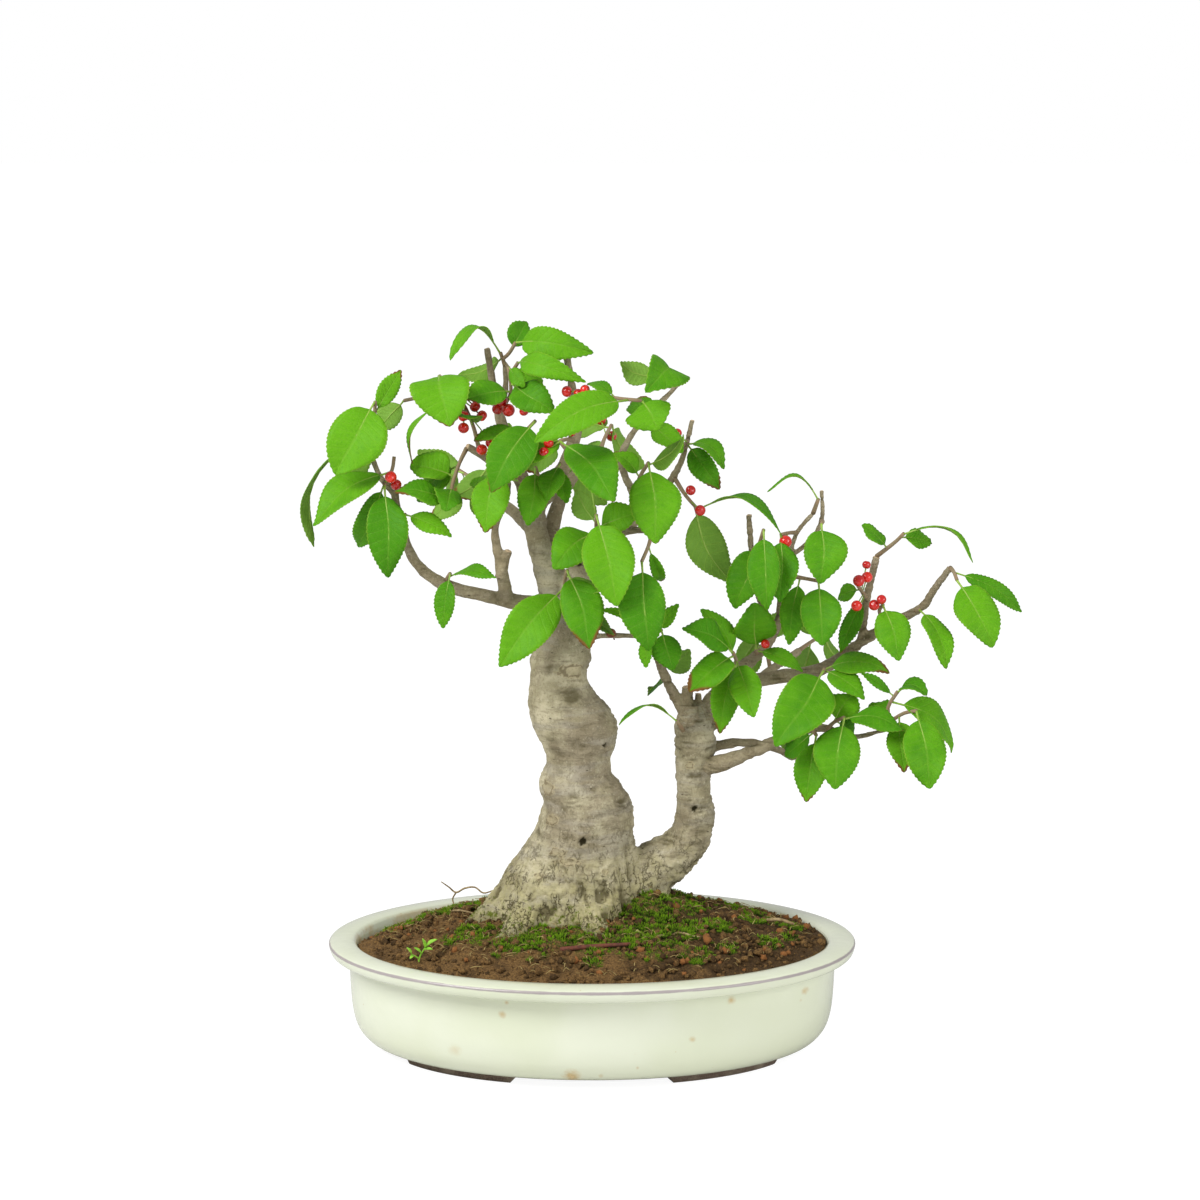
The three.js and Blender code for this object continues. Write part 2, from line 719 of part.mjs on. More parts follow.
function meshOf(name, body, { color, roughness }) {
  const { vertProperties, triVerts } = body.simplify(slack).getMesh();
  const geometry = new THREE.BufferGeometry();
  geometry.setAttribute("position", new THREE.BufferAttribute(new Float32Array(vertProperties), 3));
  geometry.setIndex(new THREE.BufferAttribute(new Uint32Array(triVerts), 1));
  geometry.computeVertexNormals();
  const material = new THREE.MeshStandardMaterial({ color, roughness, metalness: 0 });
  const mesh = new THREE.Mesh(geometry, material);
  mesh.name = name;
  return mesh;
}

function moveVertices(geometry, place) {
  const position = geometry.attributes.position;
  const v = new THREE.Vector3();
  for (let i = 0; i < position.count; i += 1) {
    v.fromBufferAttribute(position, i);
    place(v);
    position.setXYZ(i, v.x, v.y, v.z);
  }
  return geometry;
}

// The oval of the pot: a turned profile, narrower across than along
const across = (radius) => radius - potNarrower * Math.min(1, radius / floorCentre);

function ovalTurned(profile, raise = null) {
  const outline = profile.map(([radius, height]) => new THREE.Vector2(radius, height));
  const geometry = new THREE.LatheGeometry(outline, potSides);
  return moveVertices(geometry, (v) => {
    const radius = Math.hypot(v.x, v.z);
    const angle = Math.atan2(v.z, v.x);
    const height = v.y;
    v.set(radius * Math.cos(angle), -across(radius) * Math.sin(angle), height);
    if (raise) {
      raise(v);
    }
  });
}

function potSolid() {
  let body = solid(ovalTurned(potProfile));
  const [right, tall] = [2 * Math.max(...potProfile.map(([radius]) => radius)), 2 * footCutHeight];
  body = body.subtract(solid(new THREE.BoxGeometry(footCutAcross, right, tall)));
  body = body.subtract(solid(new THREE.BoxGeometry(right, footCutEnds, tall)));
  for (const x of [-drainOffset, drainOffset]) {
    const hole = new THREE.CylinderGeometry(drainRadius, drainRadius, 2 * potFloor, drainSides);
    hole.rotateX(Math.PI / 2).translate(x, 0, potFloor);
    body = body.subtract(solid(hole));
  }
  return body;
}

// Square net that lies over a drain hole
function screenSolid(x) {
  let net = solid(new THREE.BoxGeometry(screenSide, screenSide, screenThickness));
  const pitch = (screenSide - screenBar) / screenHoles;
  for (let row = 0; row < screenHoles; row += 1) {
    for (let column = 0; column < screenHoles; column += 1) {
      const hole = new THREE.BoxGeometry(pitch - screenBar, pitch - screenBar, 2 * screenThickness);
      const [down, right] = [row, column].map((place) => (place - (screenHoles - 1) / 2) * pitch);
      net = net.subtract(solid(hole.translate(right, down, 0)));
    }
  }
  return net.translate([x, 0, potFloor + seatGap + screenThickness / 2]);
}

// What the soil leaves free round a screen
function screenPocket(x) {
  const side = screenSide + 2 * seatGap;
  const tall = 2 * (screenThickness + 2 * seatGap);
  return solid(new THREE.BoxGeometry(side, side, tall).translate(x, 0, potFloor));
}

// Height of the soil: a dome, a mound under the second trunk, and clods
function soilHeight(x, y) {
  const share = Math.hypot(x / soilHalfLength, y / across(soilHalfLength));
  const fromMound = Math.hypot(x - moundCentre[0], y - moundCentre[1]) / moundSpread;
  const [first, second, swell] = clodWaves.map(([alongX, alongY]) => Math.sin(alongX * x + alongY * y));
  const clods = first * second + clodSwell * swell;
  const dome = soilDome * Math.max(0, 1 - share * share);
  return soilEdge + dome + moundHeight * Math.exp(-fromMound * fromMound) + clodHeight * clods;
}

function soilSolid(holes) {
  const rings = soilRings.map((share) => [share * soilHalfLength, soilEdge]);
  const profile = [[0, soilWall[0][1]], ...soilWall, ...rings, [0, soilEdge]];
  const geometry = ovalTurned(profile, (v) => {
    if (v.z === soilEdge) {
      v.z = soilHeight(v.x, v.y);
    }
  });
  return whole(solid(geometry).subtract(holes));
}

// Trunk: level rings, fluted near the roots
function trunkSolid(extra) {
  const centres = new THREE.CatmullRomCurve3(trunkRings.map(([x, y, z]) => new THREE.Vector3(x, y, z)));
  const sizes = new THREE.CatmullRomCurve3(trunkRings.map(([, , z, w, d]) => new THREE.Vector3(w, d, z)));
  const geometry = new THREE.CylinderGeometry(1, 1, 1, trunkSides, trunkSteps);
  moveVertices(geometry, (v) => {
    const along = v.y + 0.5;
    const centre = centres.getPoint(along);
    const half = sizes.getPoint(along);
    const angle = Math.atan2(-v.z, v.x);
    const low = THREE.MathUtils.clamp((fluteTop - centre.z) / (fluteTop - fluteBottom), 0, 1);
    const ridges = flutes.map(([count, phase, size]) => size * Math.cos(count * angle + phase));
    const grow = 1 + fluteDepth * low * ridges.reduce((sum, ridge) => sum + ridge);
    const reach = Math.hypot(v.x, v.z);
    v.set(
      centre.x + reach * (half.x * grow + extra) * Math.cos(angle),
      centre.y + reach * (half.y * grow + extra) * Math.sin(angle),
      centre.z + extra * (2 * along - 1),
    );
  });
  return solid(geometry);
}

// A tapering round stem along a smooth route
function stem(sides, route, radii, extra = 0) {
  const curve = new THREE.CatmullRomCurve3(route.map(point));
  const steps = route.length - 1;
  const frames = curve.computeFrenetFrames(steps);
  const geometry = new THREE.CylinderGeometry(1, 1, 1, sides, steps);
  moveVertices(geometry, (v) => {
    const share = 0.5 - v.y;
    const step = Math.round(share * steps);
    const middle = curve.getUtoTmapping(share) * (radii.length - 1);
    const low = Math.min(radii.length - 2, Math.floor(middle));
    const radius = THREE.MathUtils.lerp(radii[low], radii[low + 1], middle - low) + extra;
    const place = curve.getPointAt(share);
    place.addScaledVector(frames.normals[step], v.x * radius);
    place.addScaledVector(frames.binormals[step], v.z * radius);
    place.addScaledVector(frames.tangents[step], extra * (2 * share - 1));
    v.copy(place);
  });
  return solid(geometry);
}

// A point on a stem's axis, on the straight run between two of its rings
function onStem(route, along) {
  const curve = new THREE.CatmullRomCurve3(route.map(point));
  const steps = route.length - 1;
  const ring = Math.min(steps - 1, Math.floor(along * steps));
  const from = curve.getPointAt(ring / steps);
  return from.lerp(curve.getPointAt((ring + 1) / steps), along * steps - ring);
}

function woodSolid(extra) {
  const stems = limbs.map(([sides, route, radii]) => stem(sides, route, radii, extra));
  return join([trunkSolid(extra), ...stems]);
}

// Half width of a blade at a share of its length past the stalk
const bladeWidth = (share) => Math.sin(Math.PI * share ** bladeSkew) ** bladeFullness;

// One side of a leaf from its stalk to the tip: share of the length, half width
function toothedEdge(width, teeth) {
  const edge = [[0, stalkHalf]];
  for (let tooth = 0; tooth < teeth; tooth += 1) {
    const share = (tooth + firstTooth) / (teeth + lastTooth);
    const half = (width / 2) * bladeWidth(share);
    edge.push([stalkShare + (1 - stalkShare) * share, half * toothOut]);
    edge.push([stalkShare + (1 - stalkShare) * (share + toothStep), half * toothIn]);
  }
  return [...edge, [1, 0]];
}

// Triangles between the edge and the rib, which both run from the stalk to the tip
function rungs(edge, rib) {
  const faces = [[edge[0], edge[1], rib[0]]];
  let [e, r] = [1, 0];
  while (e < edge.length - 1 || r < rib.length - 1) {
    if (r === rib.length - 1 || (e < edge.length - 1 && edge[e + 1][0] <= rib[r + 1][0])) {
      faces.push([edge[e], edge[e + 1], rib[r]]);
      e += 1;
    } else {
      faces.push([edge[e], rib[r + 1], rib[r]]);
      r += 1;
    }
  }
  return faces;
}

// One toothed leaf from its root to its tip, arched along its rib and folded into a shallow V
function leaf(root, tip, width, turn, arch) {
  const axis = tip.clone().sub(root);
  const length = axis.length();
  axis.normalize();
  const up = facing.clone().addScaledVector(axis, -facing.dot(axis)).normalize();
  up.applyAxisAngle(axis, THREE.MathUtils.degToRad(turn));
  const side = new THREE.Vector3().crossVectors(axis, up);
  const large = width > largeLeaf;
  const edge = toothedEdge(width, large ? largeTeeth : smallTeeth);
  const rib = (large ? largeRib : smallRib).map((share) => [share, 0]);
  const positions = [];
  const corner = ([share, half], mirror, level) => {
    const rise = arch * length * Math.PI * Math.cos(Math.PI * share);
    const normal = up.clone().multiplyScalar(length).addScaledVector(axis, -rise).normalize();
    const fold = share > 0 ? half * Math.sin(foldAngle) : 0;
    const place = root.clone().addScaledVector(axis, share * length);
    place.addScaledVector(up, arch * length * Math.sin(Math.PI * share));
    place.addScaledVector(side, mirror * half * Math.cos(foldAngle));
    place.addScaledVector(normal, fold + level * bladeHalf);
    positions.push(place.x, place.y, place.z);
  };
  const face = (corners, outward) => {
    const ordered = outward ? corners : corners.slice().reverse();
    ordered.forEach(([spot, mirror, level]) => corner(spot, mirror, level));
  };
  const foot = edge[0];
  for (const level of [1, -1]) {
    for (const mirror of [1, -1]) {
      for (const spots of rungs(edge, rib)) {
        face(spots.map((spot) => [spot, mirror, level]), mirror === level);
      }
    }
    face([[foot, 1, level], [rib[0], 1, level], [foot, -1, level]], level === 1);
  }
  for (const mirror of [1, -1]) {
    for (let i = 0; i < edge.length - 1; i += 1) {
      const [a, b] = [edge[i], edge[i + 1]];
      face([[a, mirror, -1], [b, mirror, -1], [b, mirror, 1]], mirror === 1);
      face([[a, mirror, -1], [b, mirror, 1], [a, mirror, 1]], mirror === 1);
    }
  }
  face([[foot, -1, -1], [foot, 1, -1], [foot, 1, 1]], true);
  face([[foot, -1, -1], [foot, 1, 1], [foot, -1, 1]], true);
  const geometry = new THREE.BufferGeometry();
  geometry.setAttribute("position", new THREE.Float32BufferAttribute(positions, 3));
  return solid(geometry);
}

// A berry whose corner nearest the twig is drawn out to it as the stalk
function berry(from, centre, diameter) {
  const fruit = new THREE.IcosahedronGeometry((diameter / 2) * berryRound, 0);
  const nearest = new THREE.Vector3().fromBufferAttribute(fruit.attributes.position, 0);
  const towards = from.clone().sub(centre);
  const [corner, twig] = [nearest, towards].map((v) => v.clone().normalize());
  const turn = new THREE.Quaternion().setFromUnitVectors(corner, twig);
  return solid(moveVertices(fruit, (v) => {
    if (v.distanceTo(nearest) < berryStalk) {
      v.setLength(towards.length());
    }
    v.applyQuaternion(turn).add(centre);
  }));
}

// The route with its first point moved out of the bark, a small gap clear of it
function outOfBark(route) {
  const [inside, outside] = route.map(point);
  const inwards = inside.clone().sub(outside).normalize();
  const [hit] = new THREE.Raycaster(outside, inwards).intersectObject(tree);
  return hit ? [hit.point.addScaledVector(inwards, -twigGap).toArray(), ...route.slice(1)] : route;
}

// Everything that grows on a spray's twigs, joined into one body
function spraySolid({ twigs, leaves, berries = [] }) {
  const routes = [outOfBark(twigs[0]), ...twigs.slice(1)];
  const stems = routes.map((route, index) => {
    return stem(twigSides, route, [index === 0 ? twigStart : twigEnd, twigEnd]);
  });
  const blades = leaves.map(([twig, along, tip, width, turn, arch]) => {
    return leaf(onStem(routes[twig], along), point(tip), width, turn, arch);
  });
  const fruits = berries.map(([twig, along, centre, diameter]) => {
    return berry(onStem(routes[twig], along), point(centre), diameter);
  });
  return join([...stems, ...blades, ...fruits]);
}

const finishes = {
  glaze: { color: 0xe4e8d4, roughness: 0.25 },
  net: { color: 0x2c2f2c, roughness: 0.6 },
  earth: { color: 0x3a2618, roughness: 0.95 },
  bark: { color: 0x8f8472, roughness: 0.9 },
  leaf: { color: 0x5fa52c, roughness: 0.5 },
  weed: { color: 0x8fcc3a, roughness: 0.5 },
  stick: { color: 0x6a3a28, roughness: 0.8 },
};
const object = new THREE.Group();

const knotHoles = knots.map(([x, y, z, r]) => solid(new THREE.IcosahedronGeometry(r).translate(x, y, z)));
const wood = whole(woodSolid(0).subtract(join(knotHoles)));
const tree = meshOf("tree", wood, finishes.bark);
const clearOfWood = woodSolid(barkGap);
const weed = spraySolid(seedling);
const stick = stem(...fallenTwig);
const weedHole = stem(twigSides, seedling.twigs[0], [weedHoleRadius, weedHoleRadius]);
const pockets = [-drainOffset, drainOffset].map(screenPocket);
const holes = join([clearOfWood, weedHole, stem(...fallenTwig, barkGap), ...pockets]);

object.add(meshOf("pot", potSolid(), finishes.glaze));
object.add(meshOf("drain_screen_left", screenSolid(-drainOffset), finishes.net));
object.add(meshOf("drain_screen_right", screenSolid(drainOffset), finishes.net));
object.add(meshOf("soil", soilSolid(holes), finishes.earth));
object.add(tree);
for (const spray of sprays) {
  object.add(meshOf(spray.name, whole(spraySolid(spray).subtract(clearOfWood)), finishes.leaf));
}
object.add(meshOf("seedling", weed, finishes.weed));
object.add(meshOf("fallen_twig", stick, finishes.stick));

// The origin is under the middle of the object's box, on the ground
const box = new THREE.Box3().setFromObject(object);
const middle = box.getCenter(new THREE.Vector3());
object.position.set(-middle.x, -middle.y, -box.min.z);
object.updateMatrixWorld(true);

export default object;
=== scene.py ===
"""Japanese winterberry bonsai in its glazed oval pot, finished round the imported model."""

import math
import random

import bmesh
import bpy
from bpy.props import FloatProperty, FloatVectorProperty, IntProperty, PointerProperty
from mathutils import Matrix, Quaternion, Vector, noise
from mathutils.bvhtree import BVHTree
from mathutils.geometry import interpolate_bezier
from mathutils.kdtree import KDTree


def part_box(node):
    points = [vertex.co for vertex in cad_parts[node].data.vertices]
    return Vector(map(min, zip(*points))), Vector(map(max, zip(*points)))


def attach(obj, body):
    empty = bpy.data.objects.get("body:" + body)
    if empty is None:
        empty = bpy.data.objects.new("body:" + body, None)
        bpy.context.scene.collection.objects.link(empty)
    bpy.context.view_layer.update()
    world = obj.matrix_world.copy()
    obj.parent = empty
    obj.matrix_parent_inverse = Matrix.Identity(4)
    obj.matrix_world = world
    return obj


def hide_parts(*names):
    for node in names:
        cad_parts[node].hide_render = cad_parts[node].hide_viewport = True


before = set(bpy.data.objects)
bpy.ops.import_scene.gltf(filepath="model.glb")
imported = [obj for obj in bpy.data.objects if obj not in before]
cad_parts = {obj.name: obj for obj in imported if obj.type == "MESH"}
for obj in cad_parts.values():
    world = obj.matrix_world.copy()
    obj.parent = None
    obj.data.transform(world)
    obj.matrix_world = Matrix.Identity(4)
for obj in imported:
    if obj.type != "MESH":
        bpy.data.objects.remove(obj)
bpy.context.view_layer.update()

bl_info = {
    "name": "Winterberry Bonsai",
    "version": (1, 0, 0),
    "blender": (4, 5, 0),
    "location": "View3D > Sidebar > Bonsai",
    "description": "Builds a potted winterberry bonsai with bark, toothed leaves, berries, soil and moss",
    "category": "Add Mesh",
}

# Every length below is in millimetres from the middle of the pot on the ground
MM = 0.001
POT_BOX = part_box("pot")
TO_FRAME = Matrix.Translation(((POT_BOX[0] + POT_BOX[1]) / 2).to_2d().to_3d()) @ Matrix.Scale(MM, 4)
TO_POT = TO_FRAME.inverted()
POT_MIDDLE = TO_FRAME.translation / MM

# The photograph's camera
VIEW_DISTANCE = 1500
VIEW_AIM = (3.6, 0, 206.4)
VIEW_PITCH = math.radians(8.98)
VIEW_LENS = 100
VIEW_SENSOR = 36
VIEW_CLIP = (0.05, 50)

# Floor and lamps, with places from the aim and sizes in metres
FLOOR_HALF = 15
FLOOR_GREY = (222, 222, 222)
FLOOR_GLOW = 1.3
FLOOR_SHARE = 0.72
KEY_PLACE = Vector((-0.95, -0.75, 1))
KEY_SIZE = 0.8
FILL_PLACE = Vector((1.1, -0.9, 0.35))
FILL_SIZE = 0.9

# Pot, as half-length along its long axis and height
POT_NARROWER = 28.9
FLOOR_CENTRE = 60
POT_FLOOR = 9.5
FOOT = [(0, 5), (82, 5), (83.2, 3.4), (83.8, 0.5), (84.4, 0), (94.2, 0), (95, 0.6), (95.6, 3.3)]
FOOT_RADIUS = 96
POT_WALL = [(96.2, 3.5), (99.5, 4.3), (103.2, 6.2), (107.2, 11), (109.4, 18), (110.4, 28), (111, 41)]
POT_LIP = [
    (111.6, 43.3), (113.8, 43.7), (117, 44.1), (118.9, 45.1), (119.7, 46.6), (120.1, 48.2), (120.2, 49),
    (119.6, 49.8), (117.8, 50.4), (114.5, 50.9), (111.5, 50.95), (108.9, 50.5), (107.6, 49.3),
]
POT_INSIDE = [(106.6, 44), (103.5, 26), (97, 13), (85, POT_FLOOR), (0, POT_FLOOR)]
GLAZE_LIMIT = 5.2
RUST_OUT = 109
RUST_FROM = 90
WELD = 1e-3
LIP_LINE = Vector((120.1, 49.2))
LINE_REACH = 1.3
FOOT_CUT_HEIGHT = 3.2
FOOT_CUT_HALF_ACROSS = 34.5
FOOT_CUT_HALF_ENDS = 32
DRAIN_RADIUS = 8
DRAIN_OFFSET = 48
DRAIN_SIDES = 48
CREASE = math.radians(42)
CLAY_DUST = (150, 138, 120)

# Tan and rust marks in the glaze: x, z, radius, strength
GLAZE_STAINS = [
    (-39, 36, 2, 0.7), (-37, 41.5, 1.2, 0.7), (-8.5, 7.5, 4.4, 1), (44, 24, 1.6, 0.6), (61, 40, 2.2, 0.8),
    (95, 37, 2.2, 0.7), (-60, 17, 3.2, 0.3), (20, 12, 1, 0.5), (4, 8, 1.4, 0.4), (93, 33, 1, 0.6),
]
STAIN_FRONT = -80
STAIN_DEPTH = 0.02

# Drain screens of plastic net
SCREEN_SIDE = 30
SCREEN_THICKNESS = 1
SCREEN_LOW = POT_FLOOR + 0.3
SCREEN_CELLS = 10
POCKET_HALF = 16
POCKET_REACH = 30
POCKET_GAP = 0.3

# Soil
SOIL_WALL = [(0, 9.8), (84.5, 9.8), (96.5, 13.4), (103, 26.2), (106.9, 49)]
SOIL_EDGE = 49.5
SOIL_DOME = 15
SOIL_HALF_LENGTH = 106.9
SOIL_RINGS = 96
MOUND_HEIGHT = 8.5
MOUND_CENTRE = Vector((26, 6))
MOUND_SPREAD = 24
CUSHION_HEIGHT = 7.5
CUSHION_CENTRE = Vector((28, -15))
CUSHION_SPREAD = 9.5
SINK = 4.5
CLOD_SIZE = 3.6
CRUMB_SIZE = 1.6
CRUMB_SHIFT = Vector((9, 4, 2))
SWELL_SIZE = 9
GRAIN_SHAPES = 6
GRAIN_LEAST = 0.7
GRAIN_SPREAD = 3.1
GRAIN_BIAS = 3.2
GRAIN_TONES = [0, 0.05, 0.15, 0.3, 0.4, 0.5, 0.55, 0.75]
GRAIN_COARSE = 1.5
SOIL_SHADE = 0.4
TUFT_SHAPES = 8
TUFT_SIZE = (0.7, 1.45)
TUFT_TONE = (-0.6, 0.8)
TUFT_SHOOTS = 11
TUFT_RADIUS = 1.35
SHOOT_RADIUS = 0.3

# Moss patches: x, y, radius
MOSS = [
    (-30, -36, 19), (-54, -26, 13), (0, -40, 18), (22, -38, 20), (38, -26, 15), (34, 6, 20), (14, 26, 18),
    (-66, 36, 26), (-86, 20, 15), (-40, 42, 20), (56, -16, 9), (70, 26, 13), (90, 8, 8), (60, 44, 11),
    (-8, 48, 20), (78, -24, 8), (46, -50, 8), (0, -60, 6), (74, 4, 7), (28, -15, 20), (-18, -40, 14),
    (88, -12, 7), (60, -40, 6), (-62, -30, 6),
]

# Trunk rings from the root pad up: x, y, z, half width, half depth
TRUNK_RINGS = [
    (-11, 2, 37, 42, 31), (-12, 2, 51, 42.5, 31.4), (-12, 2, 58, 41, 30.3),
    (-12, 2, 65, 38, 28.9), (-10, 2, 74, 34.5, 27.6), (-9, 1, 82, 31, 26),
    (-6, 1, 91, 26.5, 23.3), (-3, 0, 104, 22, 20.2), (-2, 0, 113, 20.5, 18.9),
    (-5, 0, 121, 19, 17.5), (-7, 0, 127, 16, 15), (-6, 0, 134, 15, 14.4),
    (-6, 0, 141, 17, 16), (-8, 0, 150, 19.5, 18.3), (-11, 0, 158, 18, 17.1),
    (-14, 0, 165, 14.5, 14.2), (-15, 0, 173, 13, 13), (-14, 0, 181, 13.5, 13.5),
    (-12, 0, 189, 10.5, 10.5), (-12, 0, 198, 10.5, 10.5), (-12, 1, 209, 10, 10),
]

# Limbs and cut stubs: route, radius at each point of the route
LIMBS = [
    # Second trunk
    (
        [(-3, 6, 55), (14, 5, 69), (30, 3, 83), (43, 2, 94), (47, 1, 107), (46, 1, 120), (46, 1, 130),
         (47, 2, 140), (46, 2, 149), (45, 2, 158)],
        [24, 17, 12.5, 10.2, 8.9, 7.9, 8.2, 9.8, 8.6, 5.6],
    ),
    # Left limb, its end stub and its rising branch
    (
        [(-14, 0, 203), (-30, -4, 205.5), (-50, -8, 210), (-68, -10, 216), (-78, -8, 224),
         (-85, -5, 239), (-89, 0, 259)],
        [5, 3.8, 3.1, 2.8, 2.5, 2.2, 1.9],
    ),
    ([(-89, -1, 255), (-95, -1, 263), (-99, 0, 273)], [1.6, 1.4, 1.3]),
    (
        [(-38, -7, 208), (-41, -12, 225), (-43, -14, 241), (-38, -14, 254), (-37, -13, 262)],
        [3.4, 2.6, 1.9, 1.6, 1.4],
    ),
    ([(-41, -12, 218), (-37, -14, 231)], [2.6, 1.8]),
    # Left fork up to its cut top, with a cut side branch and a stub
    (
        [(-14, 2, 204), (-21, 4, 224), (-25, 5, 235), (-26, 6, 247), (-32, 10, 260), (-38, 13, 273),
         (-41, 13, 286), (-44, 12, 300), (-47, 10, 319)],
        [9.5, 6.4, 5.2, 4.9, 4, 3.3, 2.7, 2, 1.5],
    ),
    ([(-35, 10, 264), (-43, 6, 267), (-50, 3, 272), (-56, 0, 276)], [2.4, 2, 1.8, 1.7]),
    ([(-42, 13, 290), (-39, 13, 300), (-39, 12, 311)], [1.8, 1.4, 1.2]),
    # Middle branch
    (
        [(-25, 6, 248), (-17, 1, 259), (-10, -5, 273), (-7, -8, 286), (-8, -8, 298), (-11, -6, 316)],
        [4.2, 3.8, 3.2, 2.6, 2.1, 1.6],
    ),
    # Right fork, the level branch and the high branch
    (
        [(-9, 0, 204), (-3, -3, 224), (4, -4, 233), (17, -2, 241), (25, 2, 247), (33, 6, 256),
         (40, 8, 268), (43, 8, 278), (45, 8, 287)],
        [8.6, 6, 4.2, 3, 2.4, 2, 1.5, 1.4, 1.3],
    ),
    ([(6, -4, 234), (16, -9, 239), (27, -14, 240)], [2.4, 2, 1.6]),
    (
        [(23, 1, 246), (17, -4, 258), (13, -6, 270), (17, -8, 281), (27, -8, 293), (38, -6, 304),
         (40, -6, 308)],
        [2, 1.9, 1.8, 1.6, 1.4, 1.2, 1.1],
    ),
    # Low twig on the trunk
    ([(-8, -4, 188), (4, -12, 192), (21, -18, 193)], [2.2, 1.4, 1.2]),
    # Shoot and stubs on the second trunk
    ([(43, 1, 153), (36, 0, 165), (29, -4, 182), (26, -5, 189)], [3.2, 2.6, 2, 1.7]),
    ([(44, 1, 154), (43, 0, 167)], [3.4, 2.5]),
    ([(48, 4, 150), (48, 4, 163)], [2.4, 1.6]),
    # Right riser with two stubs
    (
        [(47, 4, 147), (61, 10, 167), (75, 8, 180), (83, 6, 191), (85, 4, 206), (88, 2, 223),
         (92, 0, 237), (99, -2, 246)],
        [5, 3.7, 2.7, 2, 1.6, 1.4, 1.2, 1],
    ),
    ([(83, 6, 190), (76, 0, 206), (72, -4, 224), (70, -6, 246)], [2, 1.8, 1.6, 1.5]),
    ([(89, 2, 226), (98, 2, 233), (103, 2, 242), (103, 2, 256)], [1.4, 1.3, 1.2, 1.1]),
    # High arm to the right with its stub
    (
        [(60, 10, 166), (84, 17, 168), (106, 14, 173), (125, 7, 188), (139, 4, 197), (149, 2, 203),
         (154, 1, 211), (161, 0, 221)],
        [3.6, 3.3, 3, 2.7, 2.4, 2.1, 1.8, 1.6],
    ),
    ([(122, 8, 185), (124, 5, 206), (128, 2, 226)], [2.2, 1.9, 1.7]),
    # Low arm to the right and the one behind it
    (
        [(45, 1, 129), (62, -6, 134), (80, -12, 143), (91, -15, 148), (103, -16, 151), (116, -16, 147),
         (134, -18, 151)],
        [5, 3.6, 3, 2.4, 1.9, 1.4, 1.1],
    ),
    ([(50, 6, 137), (68, 15, 138), (82, 20, 135), (93, 24, 129)], [3, 2.2, 1.9, 1.7]),
    # Branches to the back
    ([(-23, 6, 233), (-32, 24, 240), (-43, 44, 246), (-52, 60, 251)], [4, 3, 2.4, 1.8]),
    ([(-21, 4, 224), (-15, 26, 248), (-6, 44, 260), (4, 60, 268)], [4.4, 3.2, 2.4, 1.8]),
    ([(49, 5, 144), (66, 28, 155), (83, 46, 166), (97, 60, 173)], [4, 3, 2.3, 1.8]),
    # Roots that spread from the base and dive under the soil
    ([(-26, 0, 76), (-50, -5, 58), (-74, -12, 38)], [12, 7, 3]),
    ([(-22, -10, 72), (-38, -32, 56), (-54, -52, 36)], [11, 6, 3]),
    ([(0, -14, 70), (2, -34, 57), (6, -58, 34)], [11, 6, 2.5]),
    ([(24, 0, 70), (36, -4, 56), (54, -10, 36)], [11, 6, 3]),
    ([(12, 14, 72), (22, 36, 57), (34, 56, 34)], [11, 6, 2.5]),
    ([(-20, 14, 72), (-38, 32, 57), (-60, 50, 34)], [11, 6, 2.5]),
]

# Knot holes in the bark: x, y, z, radius
KNOTS = [(-4, -21, 100, 2.5), (-6, -8.5, 225, 3), (46, -8, 112, 2), (6, -12, 142, 1.7)]

# Healed scars in the bark: x, y, z, half width, half height
SCARS = [
    (-8, -13, 176, 5, 2.4), (-20, -12, 122, 2.2, 2.6), (-18, -15, 108, 2.8, 1.9), (-15, -22, 94.5, 3.6, 1.5),
    (-10, -24, 90.5, 3.6, 1.4), (-24, -20, 84, 2, 1.2), (6, -22, 86, 1.6, 1.1), (44, -8, 132, 2, 1.4),
]
SCAR_DEPTH = 5
BARK_MARKS = ("cut", "hollow", "young", "scar", "groove_shade")

# Where one kind of bark fades into the next: heights, sizes of the stem, and depths of the relief, which
# also set where painted shade fills the deep grooves
LOW_BARK = (108, 74)
YOUNG_SIZE = (7, 3.2)
CUT_FADE = (-0.5, -0.15)
GROOVE_DEPTH = (-0.45, -1.35)
GROOVE_SHIFT = 0.85

# Colours of small marks in the bark
SOIL_LINE = (70, 62, 30)
PIT = (74, 62, 42)
SCAR_PALE = (186, 172, 134)
SCAR_DARK = (98, 84, 56)
# Painted shade inside the knot holes
HOLLOW_SHADE = (54, 48, 24)

# Stems that are fused with the trunk up to this many points of their route
THICK_STEMS = {0: 10, 5: 4, 9: 3}
ROOT_COUNT = 6
TRUNK_SIDES = 72

# Ends of limbs that are sawn off, all of them above this height
CUT_LOWEST = 160
CUT_ENDS = {route[-1] for route, radii in LIMBS if route[-1][2] > CUT_LOWEST}

# Leaves, twigs and berries
STALK_SHARE = 0.13
FOLD = math.radians(14)
FACING = Vector((0, -0.7, 0.7)).normalized()
TWIG_RADII = (1.1, 0.85)
TWIG_GAP = 0.8
VEIN_PAIRS = 8.5
VEIN_SLANT = 1.5
VEIN_BEND = 0.35
TOOTH_OUT = 0.3
NOTCH_IN = 0.1
BLADE_COLUMNS = 10
NARROW_BLADE = 12
NARROW_COLUMNS = 8
LEAST_TEETH = 3
SPINE_SHARES = (0, 0.07, 0.13, 0.3, 0.5, 0.7, 0.93)
SPINE_RADII = (0.62, 0.5, 0.48, 0.42, 0.34, 0.24, 0.1)
SPINE_DROP = 0.28
BERRY_STALK = [0.34, 0.3, 0.38]
BERRY_SQUASH = 0.95
SCAR_FADE = (0.92, 0.97)
TWIG_SIDES = 10

